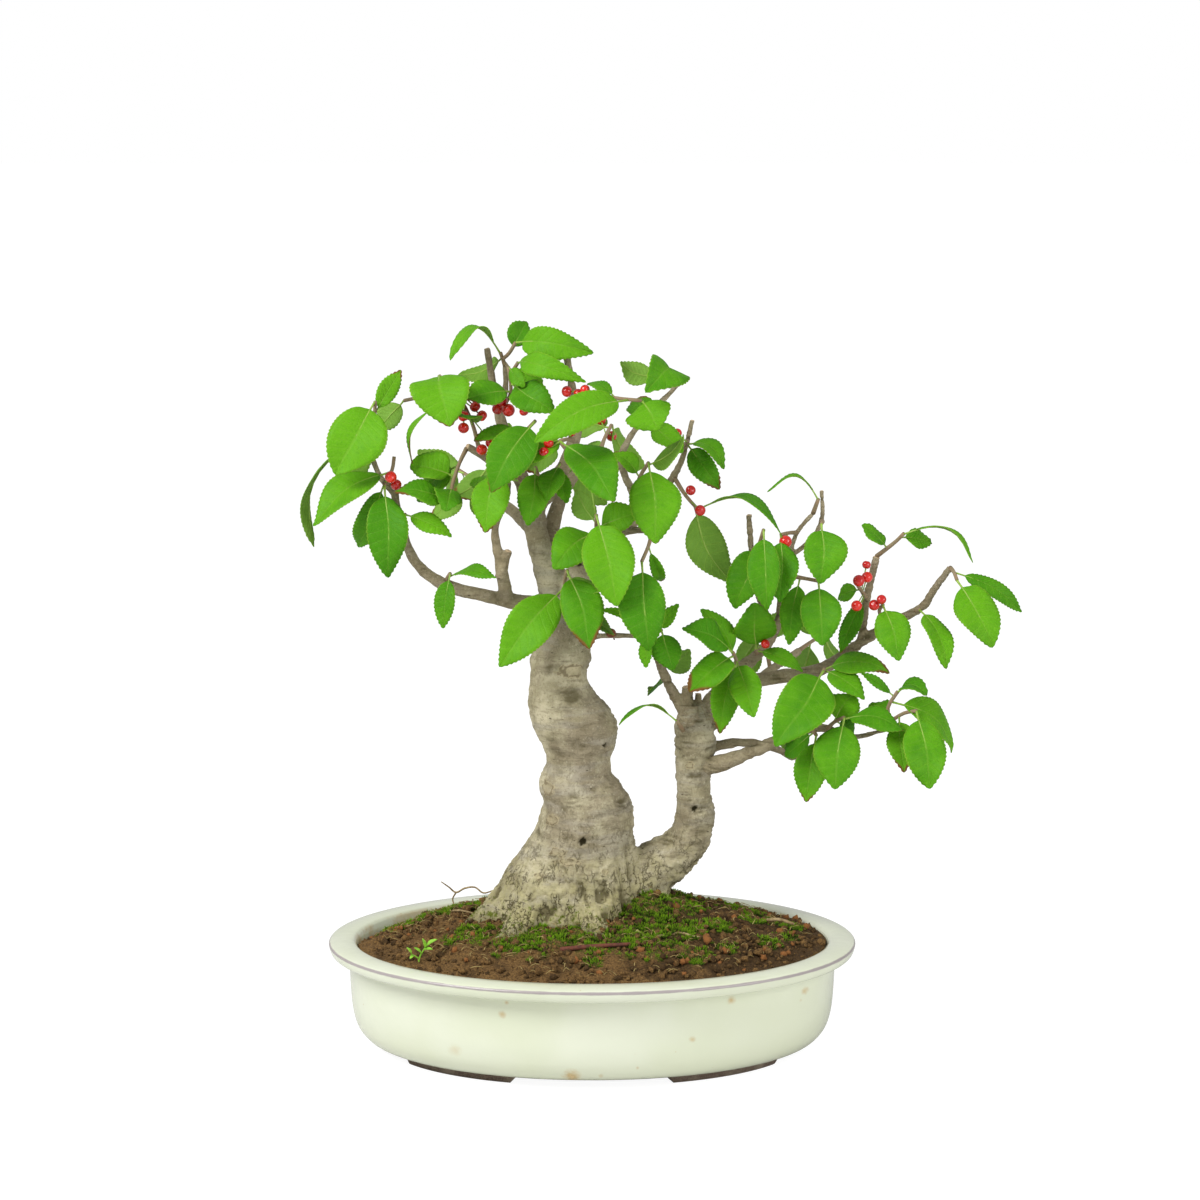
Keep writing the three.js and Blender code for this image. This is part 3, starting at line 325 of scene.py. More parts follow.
# How far one blade may differ from the next
RIPPLE = (0.5, 1.7)
TWIST = (-0.2, 0.2)
SWAY = (-0.05, 0.05)
LEAN = (-0.12, 0.12)
CURL = (-0.3, 1.1)
CURL_FROM = 0.68
FOLD_RANGE = (0.3, 1.5)
THROUGH_SHARE = 0.24
FLECK = (112, 92, 30)
DRY_TIP = (134, 92, 44)
FLOWER_SCAR = (36, 14, 10)

# Plain finishes: first colour, second colour, patches to the millimetre, roughness, relief
PLAIN = {
    "net": ((44, 47, 44), (30, 34, 31), 0.8, 0.6, 0.05),
    "leaf_stalk": ((152, 184, 74), (126, 164, 52), 0.3, 0.5, 0.05),
    "twig": ((142, 127, 98), (146, 122, 92), 0.4, 0.8, 0.12),
    "weed": ((150, 204, 60), (120, 178, 40), 0.5, 0.6, 0.05),
    "stick": ((112, 60, 40), (82, 44, 32), 0.5, 0.8, 0.2),
    "rootlet": ((176, 154, 112), (120, 98, 60), 0.35, 0.8, 0.1),
    "straw": ((176, 156, 98), (124, 102, 58), 0.3, 0.9, 0.05),
    "dried_berry": ((126, 70, 38), (84, 44, 26), 0.6, 0.75, 0.3),
}

# Leafy sprays. twigs: routes from the wood out. leaves: twig, share along it, tip, width, turn, arch.
# berries: twig, share along it, centre, diameter.
SPRAYS = {
    "spray_left_tip": {
        "twigs": [[(-99, 0, 273), (-97, -5, 284), (-96, -9, 297)]],
        "leaves": [
            (0, 1, (-113, -24, 266), 27, -10, 0.12),
            (0, 0.53, (-113, -12, 251), 14, 165, 0.1),
            (0, 0.29, (-130, 16, 231), 14, 60, 0.2),
            (0, 0.76, (-85, 0, 310), 9, 20, 0.08),
        ],
    },
    "spray_left_low": {
        "twigs": [
            [(-91, -1, 259), (-92, -8, 261), (-92, -13, 260)],
            [(-92, -8, 261), (-89, -7, 266), (-88, -6, 272)],
        ],
        "leaves": [
            (1, 0.45, (-123, -24, 243), 18, 10, 0.12),
            (0, 1, (-90, -26, 221), 19, 0, 0.1),
            (0, 0.5, (-106, 4, 229), 13, -25, 0.1),
        ],
        "berries": [
            (0, 0.8, (-89, -16, 264), 5.4),
            (1, 0.3, (-87, -11, 260), 5),
        ],
    },
    "spray_left_high": {
        "twigs": [
            [(-50, 3, 272), (-54, 0, 288), (-61, -3, 301), (-68, -4, 308)],
            [(-56, -1, 291), (-72, 1, 298), (-84, 4, 296)],
        ],
        "leaves": [
            (0, 1, (-62, -29, 287), 27, 4, 0.26),
            (1, 1, (-96, 2, 283), 12, 170, 0.1),
            (1, 0.35, (-82, -12, 271), 7, 55, 0.18),
            (0, 0.29, (-58, -22, 292), 12, 5, 0.08),
        ],
        "berries": [
            (0, 0.41, (-45, -4, 278), 5),
            (0, 0.17, (-49, -5, 275), 5),
            (0, 0.53, (-57, -8, 285), 5),
            (0, 0.76, (-57, -6, 290), 5),
            (0, 0.88, (-52, -3, 294), 5),
            (0, 0.64, (-49, -4, 290), 5),
        ],
    },
    "spray_cut_branch": {
        "twigs": [[(-56, 0, 275), (-59, -4, 269), (-62, -9, 260), (-63, -13, 253)]],
        "leaves": [
            (0, 0.29, (-79, 4, 251), 19, 10, 0.1),
            (0, 0.76, (-64, -24, 251), 14, -20, 0.1),
            (0, 1, (-86, -22, 260), 15, 10, 0.1),
            (0, 0.53, (-81, -6, 268), 18, 0, 0.12),
        ],
    },
    "spray_left_bend": {
        "twigs": [[(-85, -6, 242), (-83, -13, 247)]],
        "leaves": [
            (0, 1, (-62, -22, 239), 10, 0, 0.1),
        ],
    },
    "spray_left_under": {
        "twigs": [[(-65, -11, 217), (-63, -17, 221)]],
        "leaves": [
            (0, 1, (-66, -22, 197), 10, 10, 0.08),
            (0, 0.5, (-42, -30, 221), 8, -10, 0.12),
        ],
    },
    "spray_top_left": {
        "twigs": [
            [(-39, 12, 311), (-40, 11, 314), (-41, 10, 317)],
            [(-40, 11, 314), (-37, 7, 317), (-34, 4, 322)],
            [(-39, 12, 312), (-36, 8, 309), (-33, 4, 313)],
        ],
        "leaves": [
            (0, 1, (-63, -2, 316), 12, 35, 0.5),
            (0, 0.5, (-60, 32, 304), 12, 170, 0.08),
            (1, 1, (0, -10, 319), 15, 30, 0.27),
            (2, 1, (-3, -22, 307), 11, 30, 0.3),
            (2, 0.75, (-22, 0, 302), 11, 0, 0.08),
            (1, 0.6, (-29, 14, 331), 11, 20, 0.06),
        ],
    },
    "spray_berry_twig": {
        "twigs": [[(-41, 13, 290), (-39, 5, 294), (-36, -3, 301), (-37, -6, 312)]],
        "leaves": [
            (0, 1, (-30, -14, 304), 7, 30, 0.05),
            (0, 0.73, (-17, -22, 294), 16, 15, 0.1),
            (0, 0.59, (-56, -14, 298), 16, 0, 0.1),
        ],
        "berries": [
            (0, 0.46, (-40, -7, 297), 5.2),
            (0, 0.19, (-42, -4, 293), 5),
            (0, 0.32, (-37, -9, 293), 5.8),
            (0, 0.86, (-30, -14, 293), 4.2),
        ],
    },
    "spray_inner_left": {
        "twigs": [[(-36, 12, 271), (-34, 2, 276), (-30, -9, 283), (-25, -17, 289)]],
        "leaves": [
            (0, 0.6, (-52, -16, 281), 10, 10, 0.08),
            (0, 1, (-44, -38, 262), 21, -5, 0.1),
        ],
    },
    "spray_lower_left": {
        "twigs": [[(-29, 8, 255), (-32, -3, 261), (-36, -12, 267), (-41, -17, 269)]],
        "leaves": [
            (0, 1, (-47, -30, 241), 17, 5, 0.1),
            (0, 0.75, (-51, -4, 252), 13, 165, 0.08),
            (0, 0.3, (-55, 12, 257), 12, 10, 0.08),
        ],
        "berries": [
            (0, 0.6, (-44, -22, 269), 5),
        ],
    },
    "spray_fork_front": {
        "twigs": [[(-21, 3, 255), (-23, -6, 261), (-25, -14, 268)]],
        "leaves": [
            (0, 1, (-28, -26, 244), 14, -10, 0.1),
        ],
    },
    "spray_fork_right": {
        "twigs": [[(-14, -1, 262), (-15, -10, 266), (-14, -15, 270)]],
        "leaves": [
            (0, 1, (-20, -26, 255), 12, 10, 0.08),
            (0, 0.6, (-11, -20, 253), 8, 10, 0.08),
        ],
    },
    "spray_top_middle": {
        "twigs": [[(-8, -8, 297), (-1, -18, 302), (10, -25, 300), (22, -27, 299)]],
        "leaves": [
            (0, 0.84, (-24, -50, 285), 18, -12, 0.12),
            (0, 1, (29, -38, 287), 21, 12, 0.16),
            (0, 0.68, (-2, -14, 306), 7, 10, 0.16),
        ],
        "berries": [
            (0, 0.21, (-6, -17, 301), 4.6),
            (0, 0.53, (-3, -19, 303), 4.6),
            (0, 0.37, (-11, -16, 302), 5),
        ],
    },
    "spray_middle_front": {
        "twigs": [[(-8, -7, 279), (-10, -17, 281), (-14, -24, 281)]],
        "leaves": [
            (0, 1, (10, -50, 257), 20, 5, 0.1),
            (0, 0.68, (-32, -26, 272), 12, 0, 0.08),
        ],
        "berries": [
            (0, 0.53, (-19, -24, 280), 4.6),
            (0, 0.84, (-21, -26, 276), 5),
            (0, 0.37, (-11, -18, 285), 4.6),
            (0, 0.21, (-9, -16, 284), 4.2),
        ],
    },
    "spray_high_right": {
        "twigs": [[(39, -6, 306), (35, -12, 308), (30, -16, 308)]],
        "leaves": [
            (0, 1, (12, -16, 314), 12, 170, 0.1),
            (0, 0.7, (24, -42, 305), 20, -24, 0.3),
        ],
        "berries": [
            (0, 0.3, (34, -16, 307), 4.4),
        ],
    },
    "spray_right_edge": {
        "twigs": [[(42, 8, 276), (43, 1, 277)]],
        "leaves": [
            (0, 1, (59, -10, 268), 11, -15, 0.24),
            (0, 0.3, (57, -4, 257), 12, 10, 0.14),
        ],
        "berries": [
            (0, 0.85, (38, -2, 282), 4.4),
        ],
    },
    "spray_right_upper": {
        "twigs": [[(19, -3, 253), (21, -12, 263), (25, -21, 271)]],
        "leaves": [
            (0, 1, (28, -40, 238), 23, 0, 0.1),
            (0, 0.85, (41, -32, 284), 13, 170, 0.08),
            (0, 0.5, (10, -12, 275), 10, 10, 0.06),
        ],
    },
    "spray_right_back_leaves": {
        "twigs": [[(20, -8, 285), (26, -1, 286)]],
        "leaves": [
            (0, 1, (40, -16, 275), 12, 0, 0.1),
            (0, 0.6, (20, 10, 297), 14, 0, 0.1),
        ],
    },
    "spray_right_arch": {
        "twigs": [[(37, 7, 261), (42, -3, 254), (47, -10, 249)]],
        "leaves": [
            (0, 1, (85, -22, 240), 11, -40, 0.26),
            (0, 0.85, (61, -8, 215), 20, 172, 0.08),
        ],
        "berries": [
            (0, 0.5, (44, -7, 257), 4.6),
            (0, 0.7, (48, -15, 249), 5),
        ],
    },
    "spray_level_tip": {
        "twigs": [[(27, -14, 240), (25, -22, 234), (22, -28, 228)]],
        "leaves": [
            (0, 1, (25, -42, 191), 21, 0, 0.08),
            (0, 0.5, (31, -10, 216), 6, 50, 0.2),
        ],
    },
    "spray_right_fork_front": {
        "twigs": [[(4, -4, 233), (2, -15, 240), (2, -23, 248)]],
        "leaves": [
            (0, 1, (11, -44, 211), 24, 3, 0.08),
            (0, 0.4, (-17, -34, 226), 20, -5, 0.1),
            (0, 0.7, (-7, -14, 258), 11, 170, 0.06),
            (0, 0.55, (22, -18, 249), 15, 5, 0.06),
            (0, 0.25, (17, -4, 243), 9, 170, 0.06),
        ],
        "berries": [
            (0, 0.85, (-1, -22, 264), 4.8),
        ],
    },
    "spray_trunk_front": {
        "twigs": [[(-12, -9, 212), (-12, -16, 218), (-11, -20, 223)]],
        "leaves": [
            (0, 1, (-1, -40, 191), 19, 0, 0.08),
            (0, 0.3, (-41, -30, 181), 22, -10, 0.12),
            (0, 0.8, (6, -30, 215), 9, 170, 0.06),
            (0, 0.15, (10, -30, 195), 9, 165, 0.06),
        ],
    },
    "spray_low_twig": {
        "twigs": [[(21, -18, 193), (24, -22, 194)]],
        "leaves": [
            (0, 1, (24, -26, 180), 6, 10, 0.05),
        ],
    },
    "spray_shoot_tip": {
        "twigs": [[(26, -5, 189), (29, -10, 193), (31, -14, 195)]],
        "leaves": [
            (0, 1, (36, -24, 179), 14, 0, 0.08),
            (0, 0.8, (38, -16, 207), 7, 10, 0.06),
            (0, 0.6, (4, -10, 204), 6, 10, 0.1),
        ],
    },
    "spray_second_front": {
        "twigs": [[(41, -7, 148), (38, -14, 154)]],
        "leaves": [
            (0, 1, (12, -22, 153), 7, 52, 0.3),
        ],
    },
    "spray_riser_front": {
        "twigs": [[(65, 9, 172), (65, -4, 179), (63, -15, 185)]],
        "leaves": [
            (0, 1, (40, -26, 198), 15, 0, 0.12),
            (0, 0.7, (49, -10, 204), 11, 15, 0.1),
            (0, 0.85, (43, -32, 170), 17, 5, 0.1),
            (0, 0.4, (57, -20, 150), 14, 0, 0.08),
            (0, 0.55, (72, -30, 158), 15, 10, 0.08),
        ],
    },
    "spray_riser_up": {
        "twigs": [[(75, 8, 180), (74, 0, 184)]],
        "leaves": [
            (0, 1, (73, -12, 206), 20, 0, 0.06),
            (0, 0.7, (95, -6, 176), 9, 0, 0.08),
        ],
        "berries": [
            (0, 0.85, (78, -4, 187), 4.2),
        ],
    },
    "spray_right_top": {
        "twigs": [[(72, -4, 224), (74, -12, 232), (76, -20, 241)]],
        "leaves": [
            (0, 1, (77, -34, 208), 15, 5, 0.08),
            (0, 0.55, (63, -20, 206), 17, 0, 0.1),
        ],
    },
    "spray_right_top_berry": {
        "twigs": [[(92, 0, 237), (88, -8, 238), (84, -14, 238)]],
        "leaves": [
            (0, 1, (83, -26, 210), 15, 8, 0.1),
        ],
        "berries": [
            (0, 0.6, (86, -15, 235), 5.8),
        ],
    },
    "spray_right_top_arch": {
        "twigs": [[(99, -2, 246), (101, -6, 253)]],
        "leaves": [
            (0, 1, (78, -12, 258), 7, 42, 0.34),
        ],
    },
    "spray_right_round": {
        "twigs": [[(103, 2, 242), (103, -8, 243), (102, -14, 243)]],
        "leaves": [
            (0, 1, (101, -28, 219), 20, 0, 0.06),
        ],
    },
    "spray_right_round_low": {
        "twigs": [[(89, 3, 217), (96, -6, 217), (101, -13, 217)]],
        "leaves": [
            (0, 1, (102, -28, 190), 19, 0, 0.08),
            (0, 0.35, (88, -12, 188), 12, 0, 0.08),
        ],
    },
    "spray_arm_berries": {
        "twigs": [[(124, 5, 206), (121, -4, 211), (119, -8, 214)]],
        "leaves": [
            (0, 0.78, (110, -2, 208), 11, 10, 0.06),
            (0, 0.18, (111, -8, 184), 9, 10, 0.06),
        ],
        "berries": [
            (0, 0.93, (119, -12, 217), 5.4),
            (0, 0.48, (123, -8, 218), 5),
            (0, 0.63, (123, -4, 223), 4),
            (0, 0.33, (118, -14, 206), 5),
        ],
    },
    "spray_far_twig": {
        "twigs": [[(128, 2, 226), (136, -6, 234), (139, -10, 238)]],
        "leaves": [
            (0, 0.35, (121, -2, 241), 10, 20, 0.08),
            (0, 0.85, (152, -2, 233), 10, 10, 0.08),
            (0, 1, (170, -18, 229), 8, -45, 0.24),
        ],
    },
    "spray_far_right": {
        "twigs": [[(161, 0, 221), (162, -6, 220), (163, -10, 217)]],
        "leaves": [
            (0, 1, (178, -26, 190), 20, 0, 0.1),
            (0, 0.5, (193, -6, 202), 9, 10, 0.16),
        ],
    },
    "spray_right_under": {
        "twigs": [[(146, 2, 201), (147, -6, 203)]],
        "leaves": [
            (0, 1, (158, -24, 180), 13, -15, 0.16),
        ],
    },
    "spray_right_inner_berries": {
        "twigs": [[(132, 5, 195), (129, -4, 202), (130, -11, 206)]],
        "leaves": [
            (0, 1, (136, -28, 184), 16, 5, 0.1),
        ],
        "berries": [
            (0, 0.6, (126, -12, 206), 5),
            (0, 0.85, (129, -15, 209), 4.4),
        ],
    },
    "spray_low_right_tip": {
        "twigs": [
            [(134, -18, 151), (132, -21, 161), (136, -24, 169)],
            [(134, -19, 155), (139, -23, 159), (144, -28, 161)],
        ],
        "leaves": [
            (0, 1, (148, -32, 170), 13, -22, 0.24),
            (0, 0.7, (162, -16, 140), 17, -14, 0.2),
            (0, 0.85, (120, -20, 177), 5, 0, 0.05),
            (1, 1, (149, -44, 129), 20, 0, 0.08),
            (1, 0.3, (138, -38, 136), 13, 5, 0.08),
            (0, 0.3, (124, -14, 161), 11, 10, 0.06),
        ],
    },
    "spray_arm_front": {
        "twigs": [[(107, 13, 173), (105, 0, 175), (104, -10, 176)]],
        "leaves": [
            (0, 0.7, (133, -12, 177), 15, -14, 0.18),
            (0, 0.85, (121, -24, 167), 12, 0, 0.08),
            (0, 1, (81, -40, 148), 26, -5, 0.1),
        ],
    },
    "spray_low_arm_front": {
        "twigs": [[(105, -16, 150), (108, -23, 155), (112, -28, 158)]],
        "leaves": [
            (0, 1, (107, -44, 129), 21, 0, 0.08),
            (0, 0.4, (117, -12, 166), 15, 0, 0.08),
            (0, 0.6, (117, -18, 147), 12, 5, 0.1),
            (0, 0.85, (138, -34, 154), 14, -12, 0.12),
        ],
    },
    "spray_low_arm_under": {
        "twigs": [[(99, -16, 150), (100, -23, 149)]],
        "leaves": [
            (0, 1, (95, -34, 121), 15, 5, 0.08),
            (0, 0.1, (87, -12, 137), 13, 0, 0.08),
        ],
    },
    "spray_back_left_tip": {
        "twigs": [[(-52, 60, 251), (-57, 66, 254), (-63, 72, 257)]],
        "leaves": [
            (0, 1, (-77, 92, 230), 17, 180, 0.1),
            (0, 0.7, (-82, 74, 265), 16, 170, 0.1),
            (0, 0.5, (-44, 84, 231), 18, 180, 0.1),
        ],
        "berries": [
            (0, 0.85, (-58, 80, 246), 5),
        ],
    },
    "spray_back_left_side": {
        "twigs": [[(-40, 40, 245), (-43, 46, 253), (-47, 50, 262)]],
        "leaves": [
            (0, 1, (-64, 40, 247), 14, 180, 0.1),
            (0, 0.85, (-38, 56, 280), 16, 180, 0.1),
        ],
    },
    "spray_back_middle_tip": {
        "twigs": [[(4, 60, 268), (6, 66, 273), (9, 72, 278)]],
        "leaves": [
            (0, 1, (23, 90, 255), 18, 180, 0.1),
            (0, 0.85, (-12, 84, 283), 17, 180, 0.1),
            (0, 0.4, (-15, 82, 251), 18, 180, 0.1),
        ],
        "berries": [
            (0, 0.55, (4, 76, 280), 5),
            (0, 0.7, (9, 78, 272), 5),
        ],
    },
    "spray_back_middle_side": {
        "twigs": [[(-6, 44, 260), (-10, 50, 266), (-15, 54, 272)]],
        "leaves": [
            (0, 1, (-32, 62, 258), 16, 180, 0.1),
            (0, 0.6, (6, 58, 242), 16, 180, 0.1),
        ],
    },
    "spray_back_right_tip": {
        "twigs": [[(97, 60, 173), (103, 66, 176), (109, 70, 179)]],
        "leaves": [
            (0, 1, (124, 88, 160), 16, 180, 0.1),
            (0, 0.5, (94, 82, 150), 17, 180, 0.1),
            (0, 0.7, (101, 78, 194), 14, 180, 0.1),
        ],
    },
    "spray_back_right_side": {
        "twigs": [[(83, 46, 166), (81, 52, 175), (78, 56, 181)]],
        "leaves": [
            (0, 1, (65, 66, 158), 16, 180, 0.1),
            (0, 0.8, (92, 58, 192), 12, 180, 0.1),
        ],
    },
    "spray_back_arm_tip": {
        "twigs": [[(93, 24, 129), (97, 30, 130), (100, 36, 131)]],
        "leaves": [
            (0, 1, (114, 50, 115), 13, 180, 0.1),
            (0, 0.5, (91, 46, 141), 14, 180, 0.1),
        ],
    },
    "spray_back_trunk": {
        "twigs": [[(-15, 8, 201), (-18, 18, 204), (-20, 26, 207)]],
        "leaves": [
            (0, 1, (-33, 40, 181), 14, 180, 0.1),
            (0, 0.8, (-1, 44, 190), 15, 180, 0.1),
        ],
    },
    "spray_back_shoot": {
        "twigs": [[(34, 2, 168), (33, 12, 169), (32, 20, 172)]],
        "leaves": [
            (0, 1, (45, 36, 177), 13, 180, 0.1),
            (0, 0.8, (27, 36, 159), 13, 180, 0.1),
        ],
    },
}

# Weed by the front edge, and loose bits on the soil: route, radius at each point
WEED_SHOOTS = [
    ([(-77, -46, 50), (-76.5, -46, 53), (-75, -46.3, 56), (-73.5, -46.6, 58.5)], [0.45, 0.4, 0.35, 0.25]),
    ([(-76.6, -46, 52.5), (-78.5, -46.6, 54), (-80, -47.5, 55)], [0.35, 0.3, 0.25]),
]
WEED_LEAVES = [
    ((-73.5, -46.6, 58.5), (-68.5, -48, 62), 1.9), ((-74, -46.6, 57.8), (-75, -48.5, 62.5), 1.7),
    ((-74.6, -46.4, 57), (-70.5, -48.5, 57.6), 1.6), ((-80, -47.5, 55), (-82, -49, 58.5), 1.6),
    ((-79, -47, 54.4), (-80.5, -49.5, 53.6), 1.4), ((-75.6, -46.2, 55), (-78.5, -48, 58.2), 1.5),
]
WEED_FACING = Vector((0, -0.5, 0.8))
FALLEN_TWIG = ([(-14, -52, 58.4), (-1, -50, 59.2), (17, -48, 59.8)], [1.1, 1, 0.8])
ROOTLETS = [
    ([(20, -33, 62), (24, -36, 60), (31, -36, 60.5), (37, -34, 59)], [0.7, 0.6, 0.5, 0.3]),
    ([(34, -33, 60), (40, -31, 60.4), (46, -34, 59.5), (50, -30, 58.5)], [0.6, 0.5, 0.4, 0.3]),
    ([(-64, 8, 60.6), (-60, 4, 61.8), (-54, -2, 61.8), (-50, -8, 61)], [0.5, 0.5, 0.4, 0.3]),
]
LOOSE_ROOT = (
    [(-71, 44, 65.5), (-67.5, 44, 63), (-64, 43, 60.6), (-60, 42, 62.8), (-55, 40, 63.8), (-51, 38, 61.6),
     (-46, 36, 63.4)],
    [0.25, 0.35, 0.45, 0.45, 0.4, 0.4, 0.3],
)
LOOSE_FORK = ([(-64, 43, 60.6), (-65.6, 43, 57.4), (-64.6, 42, 54)], [0.4, 0.35, 0.3])
STRAWS = 620
STRAW_RADII = [0.16, 0.16, 0.1]
DRIED_BERRY = ((10, -12.5, 190.5), (8.6, -16.5, 194))
DRIED_SIZE = 4.4
PALE_STICK = ([(80, 2, 57.8), (85, 0, 58.6), (92, -4, 57.6)], [0.8, 0.8, 0.6])


# Shapes

def across(radius):
    """Half the pot's width where its half-length is radius."""
    return radius - POT_NARROWER * min(1, radius / FLOOR_CENTRE)


def blend(low, high, value):
    """0 below low, 1 above high, and a smooth step between them."""
    share = min(1, max(0, (value - low) / (high - low)))
    return share * share * (3 - 2 * share)


def smooth_path(points, steps):
    """Points along the smooth curve through the given ones, steps to each run."""
    points = [Vector(point) for point in points]
    padded = [2 * points[0] - points[1], *points, 2 * points[-1] - points[-2]]
    path = []
    for before, start, end, after in zip(padded, padded[1:], padded[2:], padded[3:]):
        gaps = [max(1e-4, (b - a).length ** 0.5) for a, b in ((before, start), (start, end), (end, after))]
        chord = (end - start) / gaps[1]
        leave = (start - before) / gaps[0] - (end - before) / (gaps[0] + gaps[1]) + chord
        arrive = chord - (after - start) / (gaps[1] + gaps[2]) + (after - end) / gaps[2]
        handles = start + leave * gaps[1] / 3, end - arrive * gaps[1] / 3
        path += interpolate_bezier(start, *handles, end, steps + 1)[:-1]
    return path + [points[-1]]


def smooth_sizes(sizes, steps):
    """Sizes that go straight from one to the next, steps to each run."""
    runs = zip(sizes, sizes[1:])
    return [a + (b - a) * step / steps for a, b in runs for step in range(steps)] + [sizes[-1]]


def extrude_along(bm, frames, sides):
    """A closed tube: a ring of sides corners that is extruded from frame to frame."""
    ring = bmesh.ops.create_circle(bm, cap_ends=True, segments=sides, radius=1, matrix=frames[0])["verts"]
    edges = list(ring[0].link_faces[0].edges)
    made = list(ring)
    for before, after in zip(frames, frames[1:]):
        skin = bmesh.ops.extrude_edge_only(bm, edges=edges)["geom"]
        corners = [part for part in skin if isinstance(part, bmesh.types.BMVert)]
        edges = [part for part in skin if isinstance(part, bmesh.types.BMEdge)]
        bmesh.ops.transform(bm, matrix=after @ before.inverted(), verts=corners)
        made += corners
    bmesh.ops.edgeloop_fill(bm, edges=edges)
    return made


def stem(bm, route, radii, sides=12, steps=4):
    """A tapering round stem along a smooth route."""
    path = smooth_path(route, steps)
    sizes = smooth_sizes(radii, steps)
    tangents = [(b - a).normalized() for a, b in zip([path[0], *path], [*path[1:], path[-1]])]
    turn = Vector((0, 0, 1)).rotation_difference(tangents[0])
    frames = []
    for place, size, before, tangent in zip(path, sizes, [tangents[0], *tangents], tangents):
        turn = before.rotation_difference(tangent) @ turn
        frames.append(Matrix.LocRotScale(place, turn, (size, size, size)))
    return extrude_along(bm, frames, sides)


def turned(bm, profile, sides):
    """A profile of (radius, height) points spun about the upright axis and closed."""
    corners = [bm.verts.new((radius, 0, height)) for radius, height in profile]
    edges = [bm.edges.new(pair) for pair in zip(corners, corners[1:])]
    bmesh.ops.spin(
        bm, geom=corners + edges, cent=(0, 0, 0), axis=(0, 0, 1), angle=math.tau, steps=sides,
        use_merge=True, use_duplicate=False,
    )
    bmesh.ops.remove_doubles(bm, verts=bm.verts, dist=1e-4)
    bmesh.ops.recalc_face_normals(bm, faces=bm.faces)


def make_oval(bm):
    """Squeezes a turned shape into the pot's oval."""
    for corner in bm.verts:
        radius = corner.co.xy.length
        if radius > 0:
            corner.co.y *= across(radius) / radius


def evaluated(bm, name, **settings):
    """bm after one modifier, given by its type and settings."""
    mesh = bpy.data.meshes.new("draft")
    bm.to_mesh(mesh)
    draft = bpy.data.objects.new("draft", mesh)
    bpy.context.collection.objects.link(draft)
    modifier = draft.modifiers.new("shape", name)
    for setting, value in settings.items():
        setattr(modifier, setting, value)
    bm.clear()
    bm.from_object(draft, bpy.context.evaluated_depsgraph_get())
    bpy.data.objects.remove(draft)
    bpy.data.meshes.remove(mesh)


def scatter(bm, shapes, places):
    """Copies of the shapes at (matrix, tone) places."""
    for index, (matrix, tone) in enumerate(places):
        shape = shapes[index % len(shapes)].copy()
        shape.transform(matrix)
        shape.attributes["tone"].data.foreach_set("value", [tone] * len(shape.vertices))
        bm.from_mesh(shape)
        bpy.data.meshes.remove(shape)


def drill_hole(bm, x):
    """Cuts a drain hole through the pot's floor."""
    drill = bmesh.new()
    bmesh.ops.create_cone(
        drill, cap_ends=True, segments=DRAIN_SIDES, radius1=DRAIN_RADIUS, radius2=DRAIN_RADIUS,
        depth=2 * POT_FLOOR, matrix=Matrix.Translation((x, 0, POT_FLOOR)),
    )
    mesh = bpy.data.meshes.new("drill")
    drill.to_mesh(mesh)
    drill.free()
    cutter = bpy.data.objects.new("drill", mesh)
    bpy.context.collection.objects.link(cutter)
    evaluated(bm, "BOOLEAN", operation="DIFFERENCE", solver="EXACT", object=cutter)
    bpy.data.objects.remove(cutter)
    bpy.data.meshes.remove(mesh)


def finish(bm, name, materials, replaced, smooth=True):
    """bm as a finished piece in the row frame, which rides on the root body."""
    bm.transform(TO_FRAME)
    for face in bm.faces:
        face.smooth = smooth
    mesh = bpy.data.meshes.new(name)
    bm.to_mesh(mesh)
    bm.free()
    for material in materials:
        mesh.materials.append(material)
    piece = bpy.data.objects.new(name, mesh)
    bpy.context.collection.objects.link(piece)
    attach(piece, "root")
    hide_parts(*replaced)
    return piece


# Materials

class Value:
    """One output of a node, on which Python's operators add Math nodes."""

    def __init__(self, tree, socket):
        self.tree = tree
        self.socket = socket

    def output(self, name):
        """Another output of the same node."""
        return Value(self.tree, self.socket.node.outputs[name])

    def math(self, operation, *values):
        """A Math node that works on this value and the others."""
        node = self.tree.nodes.new("ShaderNodeMath")
        node.operation = operation
        for socket, value in zip(node.inputs, values):
            if isinstance(value, Value):
                self.tree.links.new(value.socket, socket)
            else:
                socket.default_value = value
        return Value(self.tree, node.outputs[0])

    def __add__(self, other):
        return self.math("ADD", self, other)

    def __radd__(self, other):
        return self.math("ADD", other, self)

    def __sub__(self, other):
        return self.math("SUBTRACT", self, other)

    def __rsub__(self, other):
        return self.math("SUBTRACT", other, self)

    def __mul__(self, other):
        return self.math("MULTIPLY", self, other)

    def __rmul__(self, other):
        return self.math("MULTIPLY", other, self)


